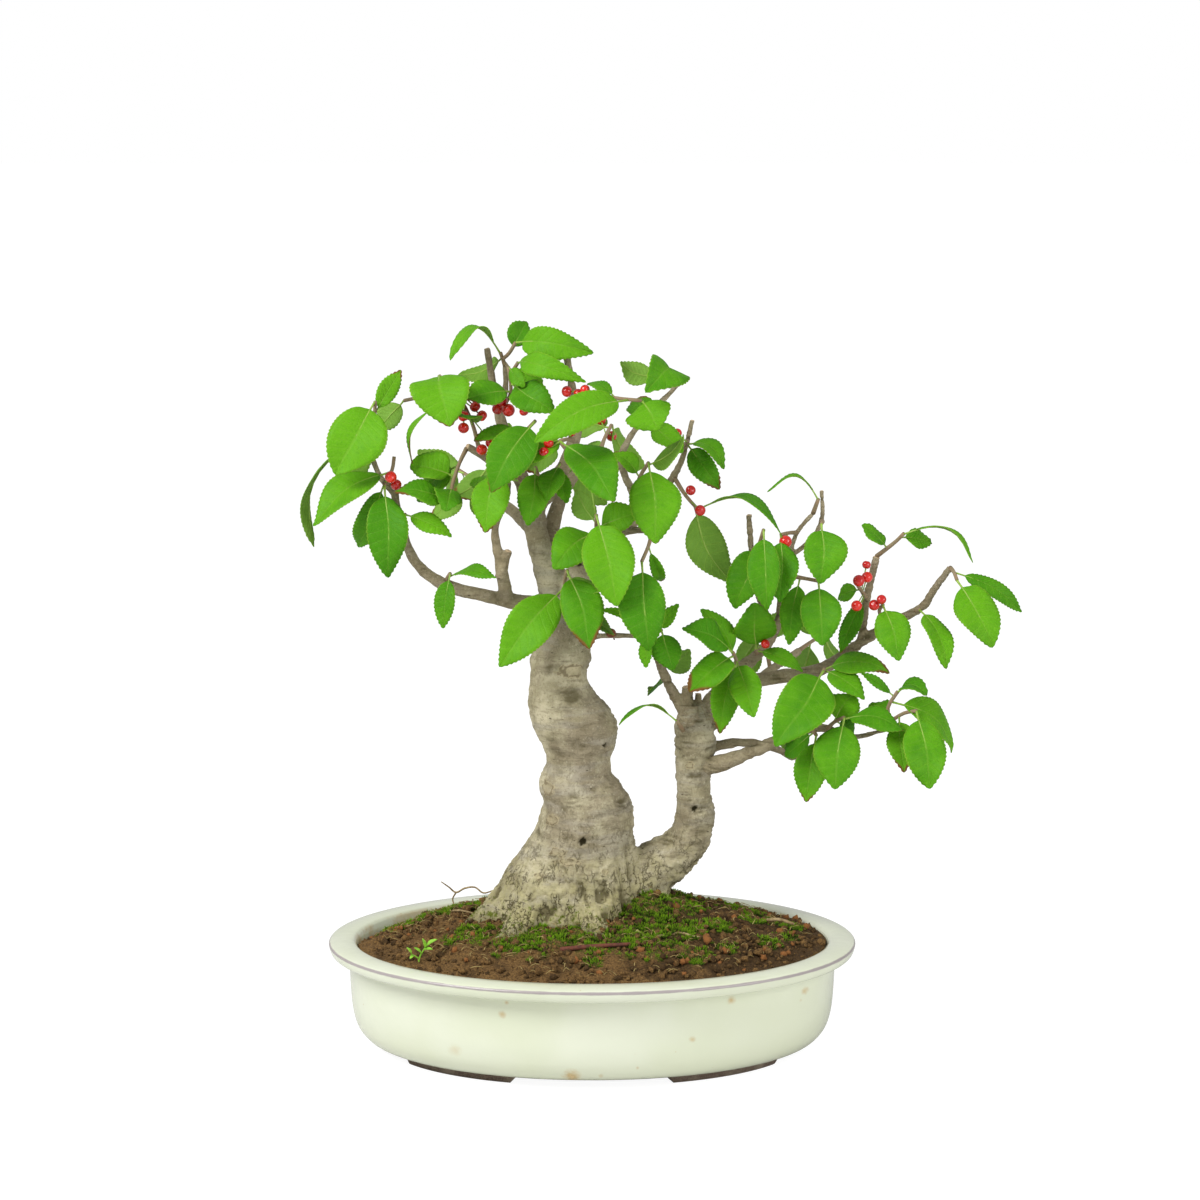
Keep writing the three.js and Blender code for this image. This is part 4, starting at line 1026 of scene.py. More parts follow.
class Finish:
    """A material under construction."""

    def __init__(self, name):
        self.material = bpy.data.materials.new(name)
        self.material.use_nodes = True
        self.tree = self.material.node_tree
        self.tree.nodes.clear()

    def node(self, kind, settings=None, sockets=None):
        """Any node by its type, its settings and the values or links of its sockets."""
        node = self.tree.nodes.new(kind)
        for name, value in (settings or {}).items():
            setattr(node, name, value)
        for name, value in (sockets or {}).items():
            if isinstance(value, Value):
                self.tree.links.new(value.socket, node.inputs[name])
            else:
                node.inputs[name].default_value = value
        return Value(self.tree, node.outputs[0]) if node.outputs else None

    def place(self, stretch=(1, 1, 1)):
        """The piece's own coordinates in millimetres, stretched."""
        coordinates = self.node("ShaderNodeTexCoord").output("Object")
        scale = [part / MM for part in stretch]
        return self.node("ShaderNodeVectorMath", {"operation": "MULTIPLY"}, {0: coordinates, 1: scale})

    def attribute(self, name):
        """A number that the piece's mesh holds at its corners."""
        return self.node("ShaderNodeAttribute", {"attribute_name": name}).output("Fac")

    def noise(self, place, scale, detail=3, roughness=0.55):
        """Soft noise between 0 and 1."""
        sockets = {"Vector": place, "Scale": scale, "Detail": detail, "Roughness": roughness}
        return self.node("ShaderNodeTexNoise", None, sockets)

    def cells(self, place, scale, feature="F1"):
        """Distance from the middle, or from the edge, of scattered cells."""
        node = self.node("ShaderNodeTexVoronoi", {"feature": feature}, {"Vector": place, "Scale": scale})
        return node.output("Distance")

    def step(self, value, low, high):
        """0 where the value is at low, 1 at high, and a smooth step between."""
        sockets = {"Value": value, "From Min": low, "From Max": high}
        return self.node("ShaderNodeMapRange", {"interpolation_type": "SMOOTHSTEP"}, sockets)

    def colour(self, mask, first, second):
        """The first colour where the mask is 0, and the second where it is 1."""
        mix = self.node("ShaderNodeMix", {"data_type": "RGBA"}, {0: mask, 6: first, 7: second})
        return mix.output(2)

    def axis(self, place, name="Z"):
        """One axis of a place, its height unless another is named."""
        return self.node("ShaderNodeSeparateXYZ", None, {"Vector": place}).output(name)

    def bump(self, height, distance, normal=None):
        """A normal from a height, whose full range stands distance millimetres."""
        sockets = {"Height": height, "Distance": distance * MM}
        if normal:
            sockets["Normal"] = normal
        return self.node("ShaderNodeBump", None, sockets)

    def close(self, shader):
        """Ends the material with this shader."""
        self.node("ShaderNodeOutputMaterial", None, {"Surface": shader})
        return self.material

    def surface(self, colour, roughness, normal=None, **uniform):
        """The main shader. uniform holds its sockets that are the same all over."""
        sockets = {"Base Color": colour, "Roughness": roughness}
        if normal:
            sockets["Normal"] = normal
        sockets.update({name.replace("_", " "): value for name, value in uniform.items()})
        return self.node("ShaderNodeBsdfPrincipled", None, sockets)


def tint(red, green, blue):
    """A colour from screen values of 0 to 255, with full alpha."""
    parts = [part / 255 for part in (red, green, blue)]
    return (*[part / 12.92 if part <= 0.04045 else ((part + 0.055) / 1.055) ** 2.4 for part in parts], 1)


def paint(name, description, *screen):
    """A colour that the panel offers, from screen values of 0 to 255."""
    return FloatVectorProperty(
        name=name, description=description, subtype="COLOR", size=4, default=tint(*screen)
    )


def glaze_finish(settings):
    """Pale green-white glaze, darker towards the foot, thin and grey along the lip's edge, with faint tan
    marks.
    """
    make = Finish("glaze")
    place = make.place()
    line = make.attribute("line")
    clouds = make.noise(place, 0.02, 2)
    height = make.axis(place)
    base = make.colour(make.step(clouds, 0.35, 0.65), settings.glaze, settings.glaze_shade)
    # Darker towards the foot, from 22 mm down to 3 mm
    towards_foot = make.step(height, 22, 3)
    base = make.colour(towards_foot * 0.5, base, settings.glaze_low)
    warped = make.noise(place, 0.35, 4)
    flat = make.node("ShaderNodeVectorMath", {"operation": "MULTIPLY"}, {0: place, 1: (1, STAIN_DEPTH, 1)})
    marks = None
    for x, z, radius, strength in GLAZE_STAINS:
        centre = (x + POT_MIDDLE.x, STAIN_FRONT * STAIN_DEPTH, z)
        gap = make.node("ShaderNodeVectorMath", {"operation": "DISTANCE"}, {0: flat, 1: centre})
        mark = make.step(gap.output("Value") + warped * radius, radius * 1.7, radius * 0.6) * strength
        marks = mark if marks is None else marks.math("MAXIMUM", marks, mark)
    base = make.colour(marks * make.step(make.axis(place, "Y"), 0, -20), base, settings.stain)
    freckled = make.step(make.noise(place, 0.05), 0.5, 0.62)
    freckle = make.step(make.cells(place, 0.16), 0.075, 0.03) * freckled
    base = make.colour(freckle * 0.55, base, settings.stain)
    rust = make.attribute("rust") * make.step(make.noise(place, 0.09, 4, 0.65), 0.42, 0.62)
    base = make.colour(rust * 0.6, base, settings.stain)
    broken = make.step(line + make.noise(place, 0.12) * 0.5, 0.5, 0.95)
    base = make.colour(broken * 0.85, base, settings.lip_line)
    ripple = make.bump(make.noise(place, 0.09, 2), 0.25)
    orange_peel = make.bump(make.noise(place, 1.1, 2), 0.012, ripple)
    rough = 0.18 + broken * 0.2 + marks * 0.1
    return make.close(make.surface(base, rough, orange_peel, Coat_Weight=0.4, Coat_Roughness=0.08))


def clay_finish(settings):
    """Bare brown stoneware of the feet and the underside."""
    make = Finish("bare_clay")
    place = make.place()
    speckle = make.noise(place, 1.4, 4)
    base = make.colour(make.step(speckle, 0.35, 0.7), settings.clay, settings.clay_dark)
    base = make.colour(make.step(make.noise(place, 0.08), 0.45, 0.7) * 0.6, base, tint(*CLAY_DUST))
    return make.close(make.surface(base, 0.85, make.bump(speckle, 0.15)))


def bark_finish(settings):
    """Grey-tan bark with level rings, pale scars, dark pits and a green film near the soil, with painted
    shade in the deep grooves and knot holes.
    """
    make = Finish("ringed_bark")
    place = make.place()
    height = make.axis(place)
    patches = make.noise(place, 0.07, 4, 0.6)
    rings = make.noise(make.place((0.09, 0.09, 0.5)), 1, 5, 0.7)
    grain = make.noise(place, 0.9, 5, 0.7)
    base = make.colour(make.step(patches, 0.36, 0.62), settings.bark, settings.bark_pale)
    dusk = make.step(make.noise(make.place((1, 1, 0.6)), 0.045, 4), 0.46, 0.62)
    damp = make.step(height, 118, 62)
    base = make.colour(dusk * (0.7 - damp * 0.5), base, settings.bark_dusk)
    silver = make.step(make.noise(make.place((0.03, 0.03, 0.16)), 1, 3), 0.5, 0.64)
    base = make.colour(silver * 0.45, base, settings.bark_silver)
    base = make.colour(make.attribute("young") * 0.6, base, settings.twig)
    base = make.colour(make.step(rings, 0.5, 0.66) * 0.45, base, settings.bark_shade)
    base = make.colour(make.step(grain, 0.52, 0.7) * 0.6, base, settings.bark_shade)
    base = make.colour(make.step(grain, 0.44, 0.28) * 0.6, base, settings.bark_light)
    film = make.step(make.noise(place, 0.2, 5, 0.75) + damp * 0.25, 0.5, 0.85) * damp
    base = make.colour(film * 0.62, base, settings.bark_green)
    # Dark furrow colour and painted shade, in the deep grooves of the relief
    base = make.colour(make.attribute("groove_shade") * 0.8, base, settings.bark_groove_and_shade)
    moss = make.step(make.noise(place, 0.35, 5, 0.75) + make.step(height, 92, 60) * 0.24, 0.74, 0.84)
    base = make.colour(moss * make.step(height, 104, 66), base, settings.bark_moss)
    lines = make.noise(make.place((0.5, 0.5, 0.26)), 0.55, 4, 0.6) - 0.5
    cracks = make.step(lines.math("ABSOLUTE", lines), 0.03, 0.01)
    cracks = cracks * make.step(make.noise(place, 0.12, 2), 0.42, 0.54) * (damp * 0.75 + 0.2)
    base = make.colour(cracks * 0.95, base, settings.bark_groove_and_shade)
    soiled = make.step(height + make.noise(place, 0.25) * 10, 72, 62)
    base = make.colour(soiled * 0.6, base, tint(*SOIL_LINE))
    dots = make.step(make.cells(make.place((1, 1, 0.55)), 0.36), 0.16, 0.08)
    base = make.colour(dots * 0.35, base, settings.bark_light)
    pits = make.step(make.cells(make.place((0.7, 0.7, 1.8)), 0.17), 0.11, 0.04)
    base = make.colour(pits * 0.7, base, tint(*PIT))
    scar = make.attribute("scar")
    base = make.colour(make.step(scar, 0.2, 0.45) * 0.4, base, tint(*SCAR_PALE))
    base = make.colour(make.step(scar, 0.65, 1) * 0.65, base, tint(*SCAR_DARK))
    hollow = make.attribute("hollow")
    # Painted shade inside the knot holes
    base = make.colour(make.step(hollow, 0.15, 0.75), base, tint(*HOLLOW_SHADE))
    base = make.colour(make.step(make.attribute("cut"), 0.35, 0.65), base, settings.cut_wood)
    normal = make.bump(rings * 0.6 + grain * 0.6 - pits * 0.4 - cracks * 0.7, 0.8)
    return make.close(make.surface(base, 0.86 - hollow * 0.1, normal, Specular_IOR_Level=0.3))


def leaf_pattern(make):
    """Blade coordinates, vein lines and the share towards the rim."""
    blade = make.node("ShaderNodeUVMap", {"uv_map": "Blade"})
    side, share = make.axis(blade, "X"), make.axis(blade, "Y")
    middle = side * 2 - 1
    out = middle.math("ABSOLUTE", middle)
    wander = make.noise(make.place(), 0.15, 2)
    phase = share * VEIN_PAIRS - out * VEIN_SLANT + out * out * VEIN_BEND + side * 0.9 + wander * 0.25
    fold = phase.math("PINGPONG", phase, 0.5)
    vein = make.step(fold, 0.1, 0.02)
    rib = make.step(out, 0.085, 0.02)
    net = make.cells(make.place(), 1.05, "DISTANCE_TO_EDGE")
    web = make.step(net, 0.09, 0.02)
    return out, share, fold, vein, rib, net, web


def blade_finish(settings, under):
    """Green leaf, paler along the ribs and the rim, with light coming through it."""
    make = Finish("leaf_under" if under else "leaf_top")
    out, share, fold, vein, rib, net, web = leaf_pattern(make)
    place = make.place()
    tone = make.attribute("tone")
    clouds = make.noise(place, 0.11, 3)
    deep, light = (settings.under, settings.under_light) if under else (settings.leaf, settings.leaf_light)
    base = make.colour(make.step(tone + clouds * 1.1, 0.6, 1.5), deep, light)
    mottle = make.noise(place, 0.8, 3, 0.6)
    base = make.colour(make.step(mottle, 0.5, 0.72) * 0.2, base, light)
    base = make.colour(make.step(mottle, 0.48, 0.28) * 0.4, base, deep)
    base = make.colour(web * 0.14, base, settings.vein)
    base = make.colour(make.step(net, 0.12, 0.3) * 0.16, base, deep)
    base = make.colour(make.step(fold, 0.3, 0.5) * 0.1, base, deep)
    base = make.colour(vein * (0.35 if under else 0.09), base, settings.vein)
    base = make.colour(rib * (0.6 if under else 0.2), base, settings.vein)
    rim = make.step(out, 0.93, 1)
    base = make.colour(rim * 0.5, base, settings.rim)
    flecked = make.step(make.noise(place, 0.04, 1), 0.55, 0.62)
    flecks = make.step(make.cells(place, 0.33), 0.085, 0.05) * flecked
    base = make.colour(flecks * 0.6, base, tint(*FLECK))
    wear = make.attribute("wear")
    dry = make.step(share + out * 0.35 + clouds * 0.25 + wear * 0.4, 1.5, 1.62)
    base = make.colour(dry, base, tint(*DRY_TIP))
    relief = fold.math("SQRT", fold) * 0.5 - vein * 0.25 - rib * 0.5 - web * 0.3
    normal = make.bump(relief * (-1 if under else 1), 0.28)
    top = make.surface(base, 0.6 if under else 0.5, normal, Specular_IOR_Level=0.2)
    through = make.node("ShaderNodeBsdfTranslucent", None, {"Color": make.colour(0.5, base, settings.glow)})
    return make.close(make.node("ShaderNodeMixShader", None, {0: THROUGH_SHARE, 1: top, 2: through}))


def plain_finish(name, chosen=None):
    """Two colours in soft patches, with fine relief. chosen stands in for the first colour."""
    first, second, scale, roughness, relief = PLAIN[name]
    make = Finish(name)
    patches = make.noise(make.place(), scale, 3)
    first = tint(*first) if chosen is None else chosen
    base = make.colour(make.step(patches, 0.35, 0.65), first, tint(*second))
    return make.close(make.surface(base, roughness, make.bump(patches, relief)))


def berry_finish(settings):
    """Glossy red fruit, deeper in patches, with a dark spot where the flower was."""
    make = Finish("berry")
    place = make.place()
    tone = make.attribute("tone")
    patches = make.step(make.noise(place, 0.25, 2) + tone * 0.3, 0.3, 0.75)
    base = make.colour(patches, settings.berry, settings.berry_deep)
    scar = make.step(make.attribute("scar"), 0.35, 0.65)
    base = make.colour(scar, base, tint(*FLOWER_SCAR))
    return make.close(make.surface(base, 0.22 + scar * 0.5, None, Coat_Weight=0.5, Coat_Roughness=0.08))


def soil_finish(settings, name):
    """Dark crumbly earth, greener under the moss, in grains of differing brown, with painted shade where the
    tone is low, in the hollows between clods.
    """
    make = Finish(name)
    place = make.place()
    tone = make.attribute("tone")
    fine = make.noise(place, 1.3, 5, 0.7)
    base = make.colour(make.step(fine, 0.35, 0.68), settings.soil, settings.soil_light)
    # Low tone darkens the soil: painted shade in the hollows between clods, and dark grains among the loose
    # ones
    base = make.colour(make.step(tone, 0.3, 0.02) * 0.65, base, settings.soil_dark_and_shade)
    base = make.colour(make.step(tone, 0.55, 0.9), base, settings.soil_rust)
    green = make.attribute("moss") * make.step(make.noise(place, 0.5, 3), 0.35, 0.6)
    base = make.colour(green * 0.8, base, settings.moss_dark)
    return make.close(make.surface(base, 0.95, make.bump(fine, 0.5), Specular_IOR_Level=0.2))


def moss_finish(settings):
    """Cushions of moss, from dark olive low down to bright yellow-green tips."""
    make = Finish("moss")
    tone = make.attribute("tone")
    tip = make.attribute("tip")
    base = make.colour(make.step(tip + tone * 0.5, 0.1, 1.2), settings.moss_dark, settings.moss)
    base = make.colour(make.step(tip, 0.55, 1) * 0.55, base, settings.moss_tip)
    return make.close(make.surface(base, 0.8, None, Specular_IOR_Level=0.2))


# Pieces

class PotSettings(bpy.types.PropertyGroup):
    """Steps and colours of the pot"""

    sides: IntProperty(name="Sides", description="Steps round the oval", default=192, min=48)
    glaze: paint("Glaze", "Glaze on the walls", 223, 227, 206)
    glaze_shade: paint("Glaze shade", "Thicker glaze", 217, 222, 196)
    # Glaze colour mixed in towards the foot, darker than the wall above
    glaze_low: paint("Pooled glaze", "Glaze run down to the foot", 210, 214, 184)
    lip_line: paint("Lip line", "Thin glaze along the lip", 146, 132, 138)
    stain: paint("Stain", "Tan marks in the glaze", 196, 168, 112)
    clay: paint("Clay", "Bare clay of the feet", 120, 104, 90)
    clay_dark: paint("Dark clay", "Specks in the clay", 92, 76, 64)


def pot_profile():
    """The wall of the pot from the middle of its underside round to the middle of its floor."""
    flat = [(radius, 0, height) for radius, height in POT_WALL]
    wall = smooth_path(flat, 4)
    lip = smooth_path([(radius, 0, height) for radius, height in POT_LIP], 4)
    inside = smooth_path([(radius, 0, height) for radius, height in POT_INSIDE[:-1]], 3)
    curved = [(point.x, point.z) for point in (*wall, *lip, *inside)]
    return [*FOOT, *curved, POT_INSIDE[-1]]


class BONSAI_OT_pot(bpy.types.Operator):
    """Glazed oval pot with bare clay feet and two drain holes"""

    bl_idname = "bonsai.pot"
    bl_label = "Pot"

    def execute(self, context):
        settings = context.scene.bonsai_pot
        bm = bmesh.new()
        line = bm.verts.layers.float.new("line")
        rust = bm.verts.layers.float.new("rust")
        turned(bm, pot_profile(), settings.sides)
        for corner in bm.verts:
            radius, height = corner.co.xy.length, corner.co.z
            corner[line] = max(0, 1 - (Vector((radius, height)) - LIP_LINE).length / LINE_REACH)
            inside = blend(RUST_OUT, RUST_OUT - 1.5, radius) * blend(POT_FLOOR, SOIL_EDGE - 4, height)
            corner[rust] = inside * blend(-RUST_FROM, RUST_FROM, corner.co.y - corner.co.x)
        make_oval(bm)
        for corner in bm.verts:
            x, y, z = corner.co
            if z < FOOT_CUT_HEIGHT and (abs(x) < FOOT_CUT_HALF_ACROSS or abs(y) < FOOT_CUT_HALF_ENDS):
                corner.co.z = FOOT_CUT_HEIGHT
        bmesh.ops.dissolve_degenerate(bm, dist=WELD, edges=bm.edges)
        for side in (-1, 1):
            drill_hole(bm, side * DRAIN_OFFSET)
        for face in bm.faces:
            centre = face.calc_center_median()
            inside = math.hypot(centre.x / FOOT_RADIUS, centre.y / across(FOOT_RADIUS)) < 1
            face.material_index = 1 if inside and centre.z < GLAZE_LIMIT and face.normal.z < 0.5 else 0
        materials = [glaze_finish(settings), clay_finish(settings)]
        piece = finish(bm, "glazed_pot", materials, ["pot"])
        piece.data.set_sharp_from_angle(angle=CREASE)
        return {"FINISHED"}


class SoilSettings(bpy.types.PropertyGroup):
    """Amounts and colours of the soil and moss"""

    sides: IntProperty(name="Sides", description="Steps round the soil", default=440, min=48)
    grains: IntProperty(name="Grains", description="Loose grains on top", default=3800, min=0)
    tufts: IntProperty(name="Moss tufts", description="Tufts over all patches", default=3200, min=0)
    seed: IntProperty(name="Seed", description="Another spread of grains and moss", default=7)
    soil: paint("Soil", "Damp earth", 76, 56, 34)
    soil_light: paint("Dry soil", "Dry crumbs", 138, 106, 62)
    # Colour of dark grains, and of the painted shade between clods
    soil_dark_and_shade: paint("Dark soil", "Hollows and dark grains", 40, 29, 17)
    soil_rust: paint("Rusty grains", "Orange-brown grains", 158, 100, 54)
    moss: paint("Moss", "Moss in the light", 112, 156, 20)
    moss_dark: paint("Dark moss", "Moss low down", 50, 66, 12)
    moss_tip: paint("Moss tips", "Ends of the shoots", 150, 186, 36)


def rim_share(x, y):
    """0 at the middle of the soil and 1 at its rim."""
    return math.hypot(x / SOIL_HALF_LENGTH, y / across(SOIL_HALF_LENGTH))


def soil_level(x, y):
    """Height of the soil without its clods."""
    share = rim_share(x, y)
    from_mound = (Vector((x, y)) - MOUND_CENTRE).length / MOUND_SPREAD
    from_cushion = (Vector((x, y)) - CUSHION_CENTRE).length / CUSHION_SPREAD
    dome = SOIL_DOME * max(0, 1 - share * share)
    sink = SINK * blend(0.7, 0.97, share) * blend(20, 66, -x) * blend(-12, 16, y)
    cushion = CUSHION_HEIGHT * math.exp(-from_cushion ** 2)
    mounds = MOUND_HEIGHT * math.exp(-from_mound * from_mound) + cushion
    return SOIL_EDGE + dome + mounds - sink


def mossy(x, y):
    """Share of moss at a place on the soil."""
    coarse = noise.noise(Vector((x / 6, y / 6, 3)))
    fine = noise.noise(Vector((x / 2.5, y / 2.5, 8)))
    depth = max(1 - (Vector((x, y)) - Vector(patch[:2])).length / patch[2] for patch in MOSS)
    return blend(-0.05, 0.35, depth + (coarse * 0.5 + fine * 0.3))


def clod(place):
    """Height of the crumbs at a place, from rounded cells of two sizes."""
    coarse = 1 - noise.voronoi(place / CLOD_SIZE)[0][0] * 1.5
    fine = 1 - noise.voronoi(place / CRUMB_SIZE + CRUMB_SHIFT)[0][0] * 1.5
    swell = noise.noise(place / SWELL_SIZE)
    return coarse * 1.1 + fine * 0.7 + swell * 1.4 - 1


class BONSAI_OT_soil(bpy.types.Operator):
    """Domed crumbly soil that fills the pot"""

    bl_idname = "bonsai.soil"
    bl_label = "Soil"

    def execute(self, context):
        settings = context.scene.bonsai_soil
        bm = bmesh.new()
        tone = bm.verts.layers.float.new("tone")
        moss = bm.verts.layers.float.new("moss")
        shares = [1 - step / SOIL_RINGS for step in range(1, SOIL_RINGS)]
        top = [(SOIL_HALF_LENGTH * share, SOIL_EDGE) for share in shares]
        turned(bm, [*SOIL_WALL, *top, (0, SOIL_EDGE)], settings.sides)
        make_oval(bm)
        for corner in bm.verts:
            x, y, z = corner.co
            corner[tone] = SOIL_SHADE
            if z < SOIL_EDGE:
                if z > SOIL_EDGE - 1:
                    corner.co.z = soil_level(x, y) - 0.5
                continue
            rim = blend(1, 0.94, rim_share(x, y))
            rise = clod(corner.co)
            # Tone is painted shade in the low spots between the clods, and is lower towards the right side
            corner[tone] = 0.36 + rise * 0.16 - 0.26 * blend(-10, 70, x)
            corner[moss] = mossy(x, y)
            corner.co.z = soil_level(x, y) + rise * (0.3 + 0.7 * rim)
        cut_pockets(bm)
        finish(bm, "soil_body", [soil_finish(settings, "soil")], ["soil"])
        return {"FINISHED"}


def cut_pockets(bm):
    """Leaves room for the drain screens under the soil."""
    for corner in bm.verts:
        x, y, z = corner.co
        near = abs(abs(x) - DRAIN_OFFSET) < POCKET_HALF and abs(y) < POCKET_HALF
        if near and z < SOIL_EDGE - POCKET_REACH:
            corner.co.z = max(z, SCREEN_LOW + SCREEN_THICKNESS + POCKET_GAP)


def grain_shapes(seed):
    """A few knobbly grains of about one millimetre."""
    shapes = []
    for number in range(GRAIN_SHAPES):
        bm = bmesh.new()
        bm.verts.layers.float.new("tone")
        bm.verts.layers.float.new("moss")
        bmesh.ops.create_icosphere(bm, subdivisions=2 if number % 3 == 0 else 1, radius=0.5)
        for corner in bm.verts:
            corner.co *= 1 + noise.noise(corner.co * 3.4 + Vector((number * 7, seed, 0))) * 0.8
        mesh = bpy.data.meshes.new("grain")
        bm.to_mesh(mesh)
        bm.free()
        shapes.append(mesh)
    return shapes


def soil_spot(chance, margin=0.985):
    """A random place on the soil, as x and y."""
    while True:
        x, y = (chance.uniform(-half, half) for half in (SOIL_HALF_LENGTH, across(SOIL_HALF_LENGTH)))
        if rim_share(x, y) < margin:
            return x, y


class BONSAI_OT_grains(bpy.types.Operator):
    """Loose grains of baked clay and crumbs of earth on the soil"""

    bl_idname = "bonsai.grains"
    bl_label = "Soil grains"

    def execute(self, context):
        settings = context.scene.bonsai_soil
        chance = random.Random(settings.seed)
        places = []
        for _ in range(settings.grains):
            x, y = soil_spot(chance)
            size = GRAIN_LEAST + GRAIN_SPREAD * chance.random() ** GRAIN_BIAS
            turn = Quaternion([chance.gauss(0, 1) for _ in range(4)]).normalized()
            shape = [size * chance.uniform(0.75, 1.2) for _ in range(3)]
            place = Vector((x, y, soil_level(x, y) + size * 0.12))
            place.z += clod(place) * 0.8
            tone = chance.choice(GRAIN_TONES) if size > GRAIN_COARSE else chance.random() * 0.5
            places.append((Matrix.LocRotScale(place, turn, shape), tone))
        bm = bmesh.new()
        bm.verts.layers.float.new("tone")
        bm.verts.layers.float.new("moss")
        scatter(bm, grain_shapes(settings.seed), places)
        finish(bm, "soil_grains", [soil_finish(settings, "grain")], ["soil"])
        return {"FINISHED"}


def tuft_shapes(seed):
    """Small cushions of moss shoots, each a thin three-sided cone."""
    chance = random.Random(seed)
    shapes = []
    for _ in range(TUFT_SHAPES):
        bm = bmesh.new()
        bm.verts.layers.float.new("tone")
        tip = bm.verts.layers.float.new("tip")
        for _ in range(TUFT_SHOOTS):
            out = chance.random() ** 0.5 * TUFT_RADIUS
            angle = chance.random() * math.tau
            lean = Quaternion((-math.sin(angle), math.cos(angle), 0), out * 0.55 + chance.uniform(-0.2, 0.2))
            tall = chance.uniform(1.1, 2.1) * (1.15 - out * 0.35)
            place = Vector((out * math.cos(angle), out * math.sin(angle), tall * 0.3))
            shoot = bmesh.ops.create_cone(
                bm, cap_ends=True, segments=3, radius1=SHOOT_RADIUS, radius2=0, depth=tall,
                matrix=Matrix.LocRotScale(place, lean, None),
            )["verts"]
            for corner in shoot:
                corner[tip] = 1 if (corner.co - place).dot(lean @ Vector((0, 0, 1))) > 0 else 0
        mesh = bpy.data.meshes.new("tuft")
        bm.to_mesh(mesh)
        bm.free()
        shapes.append(mesh)
    return shapes


class BONSAI_OT_moss(bpy.types.Operator):
    """Cushions of moss on the soil round the foot of the trunk"""

    bl_idname = "bonsai.moss"
    bl_label = "Moss"

    def execute(self, context):
        settings = context.scene.bonsai_soil
        chance = random.Random(settings.seed + 1)
        places = []
        while len(places) < settings.tufts:
            x, y = soil_spot(chance, 0.97)
            share = mossy(x, y)
            if chance.random() > share:
                continue
            place = Vector((x, y, soil_level(x, y)))
            place.z += clod(place) * 0.9 - 0.1
            size = chance.uniform(*TUFT_SIZE) * (0.6 + 0.55 * share)
            turn = Quaternion((0, 0, 1), chance.random() * math.tau)
            places.append((Matrix.LocRotScale(place, turn, (size, size, size)), chance.uniform(*TUFT_TONE)))
        bm = bmesh.new()
        bm.verts.layers.float.new("tone")
        bm.verts.layers.float.new("tip")
        scatter(bm, tuft_shapes(settings.seed), places)
        finish(bm, "moss", [moss_finish(settings)], ["soil"], smooth=False)
        return {"FINISHED"}


class BONSAI_OT_screens(bpy.types.Operator):
    """Plastic nets over the drain holes"""

    bl_idname = "bonsai.screens"
    bl_label = "Drain screens"

    def execute(self, context):
        net = plain_finish("net")
        for name, side in (("drain_screen_left", -1), ("drain_screen_right", 1)):
            bm = bmesh.new()
            middle = SCREEN_LOW + SCREEN_THICKNESS / 2
            bmesh.ops.create_grid(
                bm, x_segments=SCREEN_CELLS, y_segments=SCREEN_CELLS, size=SCREEN_SIDE / 2 - 0.5,
                matrix=Matrix.Translation((side * DRAIN_OFFSET, 0, middle)),
            )
            evaluated(bm, "WIREFRAME", thickness=SCREEN_THICKNESS, use_even_offset=True, use_boundary=True)
            finish(bm, f"{name}_net", [net], [name], smooth=False)
        return {"FINISHED"}


class WoodSettings(bpy.types.PropertyGroup):
    """Detail and colours of the bark"""

    trunk_voxel: FloatProperty(
        name="Trunk detail", description="Face size on the trunk", unit="LENGTH", default=0.00088, min=0.0004
    )
    branch_voxel: FloatProperty(
        name="Branch detail", description="Face size on branches", unit="LENGTH", default=0.00059, min=0.0003
    )
    relief: FloatProperty(
        name="Relief", description="Strength of the bark's relief", default=1, min=0, max=3
    )
    bark: paint("Bark", "Grey-tan bark", 156, 147, 116)
    bark_pale: paint("Pale bark", "Pale patches", 196, 187, 156)
    bark_shade: paint("Bark rings", "Level rings and furrows", 106, 95, 70)
    bark_light: paint("Bark specks", "Pale specks", 204, 197, 170)
    bark_silver: paint("Silver bark", "Smooth grey skin", 162, 156, 142)
    bark_green: paint("Green film", "Algae low on the trunk", 174, 167, 112)
    bark_moss: paint("Moss on bark", "Moss by the soil", 96, 108, 26)
    twig: paint("Twig", "Young twigs", 142, 127, 98)
    bark_dusk: paint("Dusky bark", "Brown-grey patches", 134, 122, 100)
    bark_groove_and_shade: paint("Grooves", "Deep wrinkles and cracks", 84, 76, 46)
    # Colour of the cracks, and of the painted shade in the deep grooves
    cut_wood: paint("Cut wood", "Cut ends", 206, 180, 146)


def skinned(bm, voxel):
    """One even smooth skin round everything in bm."""
    evaluated(bm, "REMESH", mode="VOXEL", voxel_size=voxel)
    for _ in range(2):
        bmesh.ops.smooth_vert(
            bm, verts=bm.verts, factor=0.5, use_axis_x=True, use_axis_y=True, use_axis_z=True
        )
    bm.normal_update()


def waves(x, y, z, wide, tall):
    """Noise in waves that are wide across and tall upwards."""
    return noise.noise(Vector((x / wide, y / wide, z / tall)))


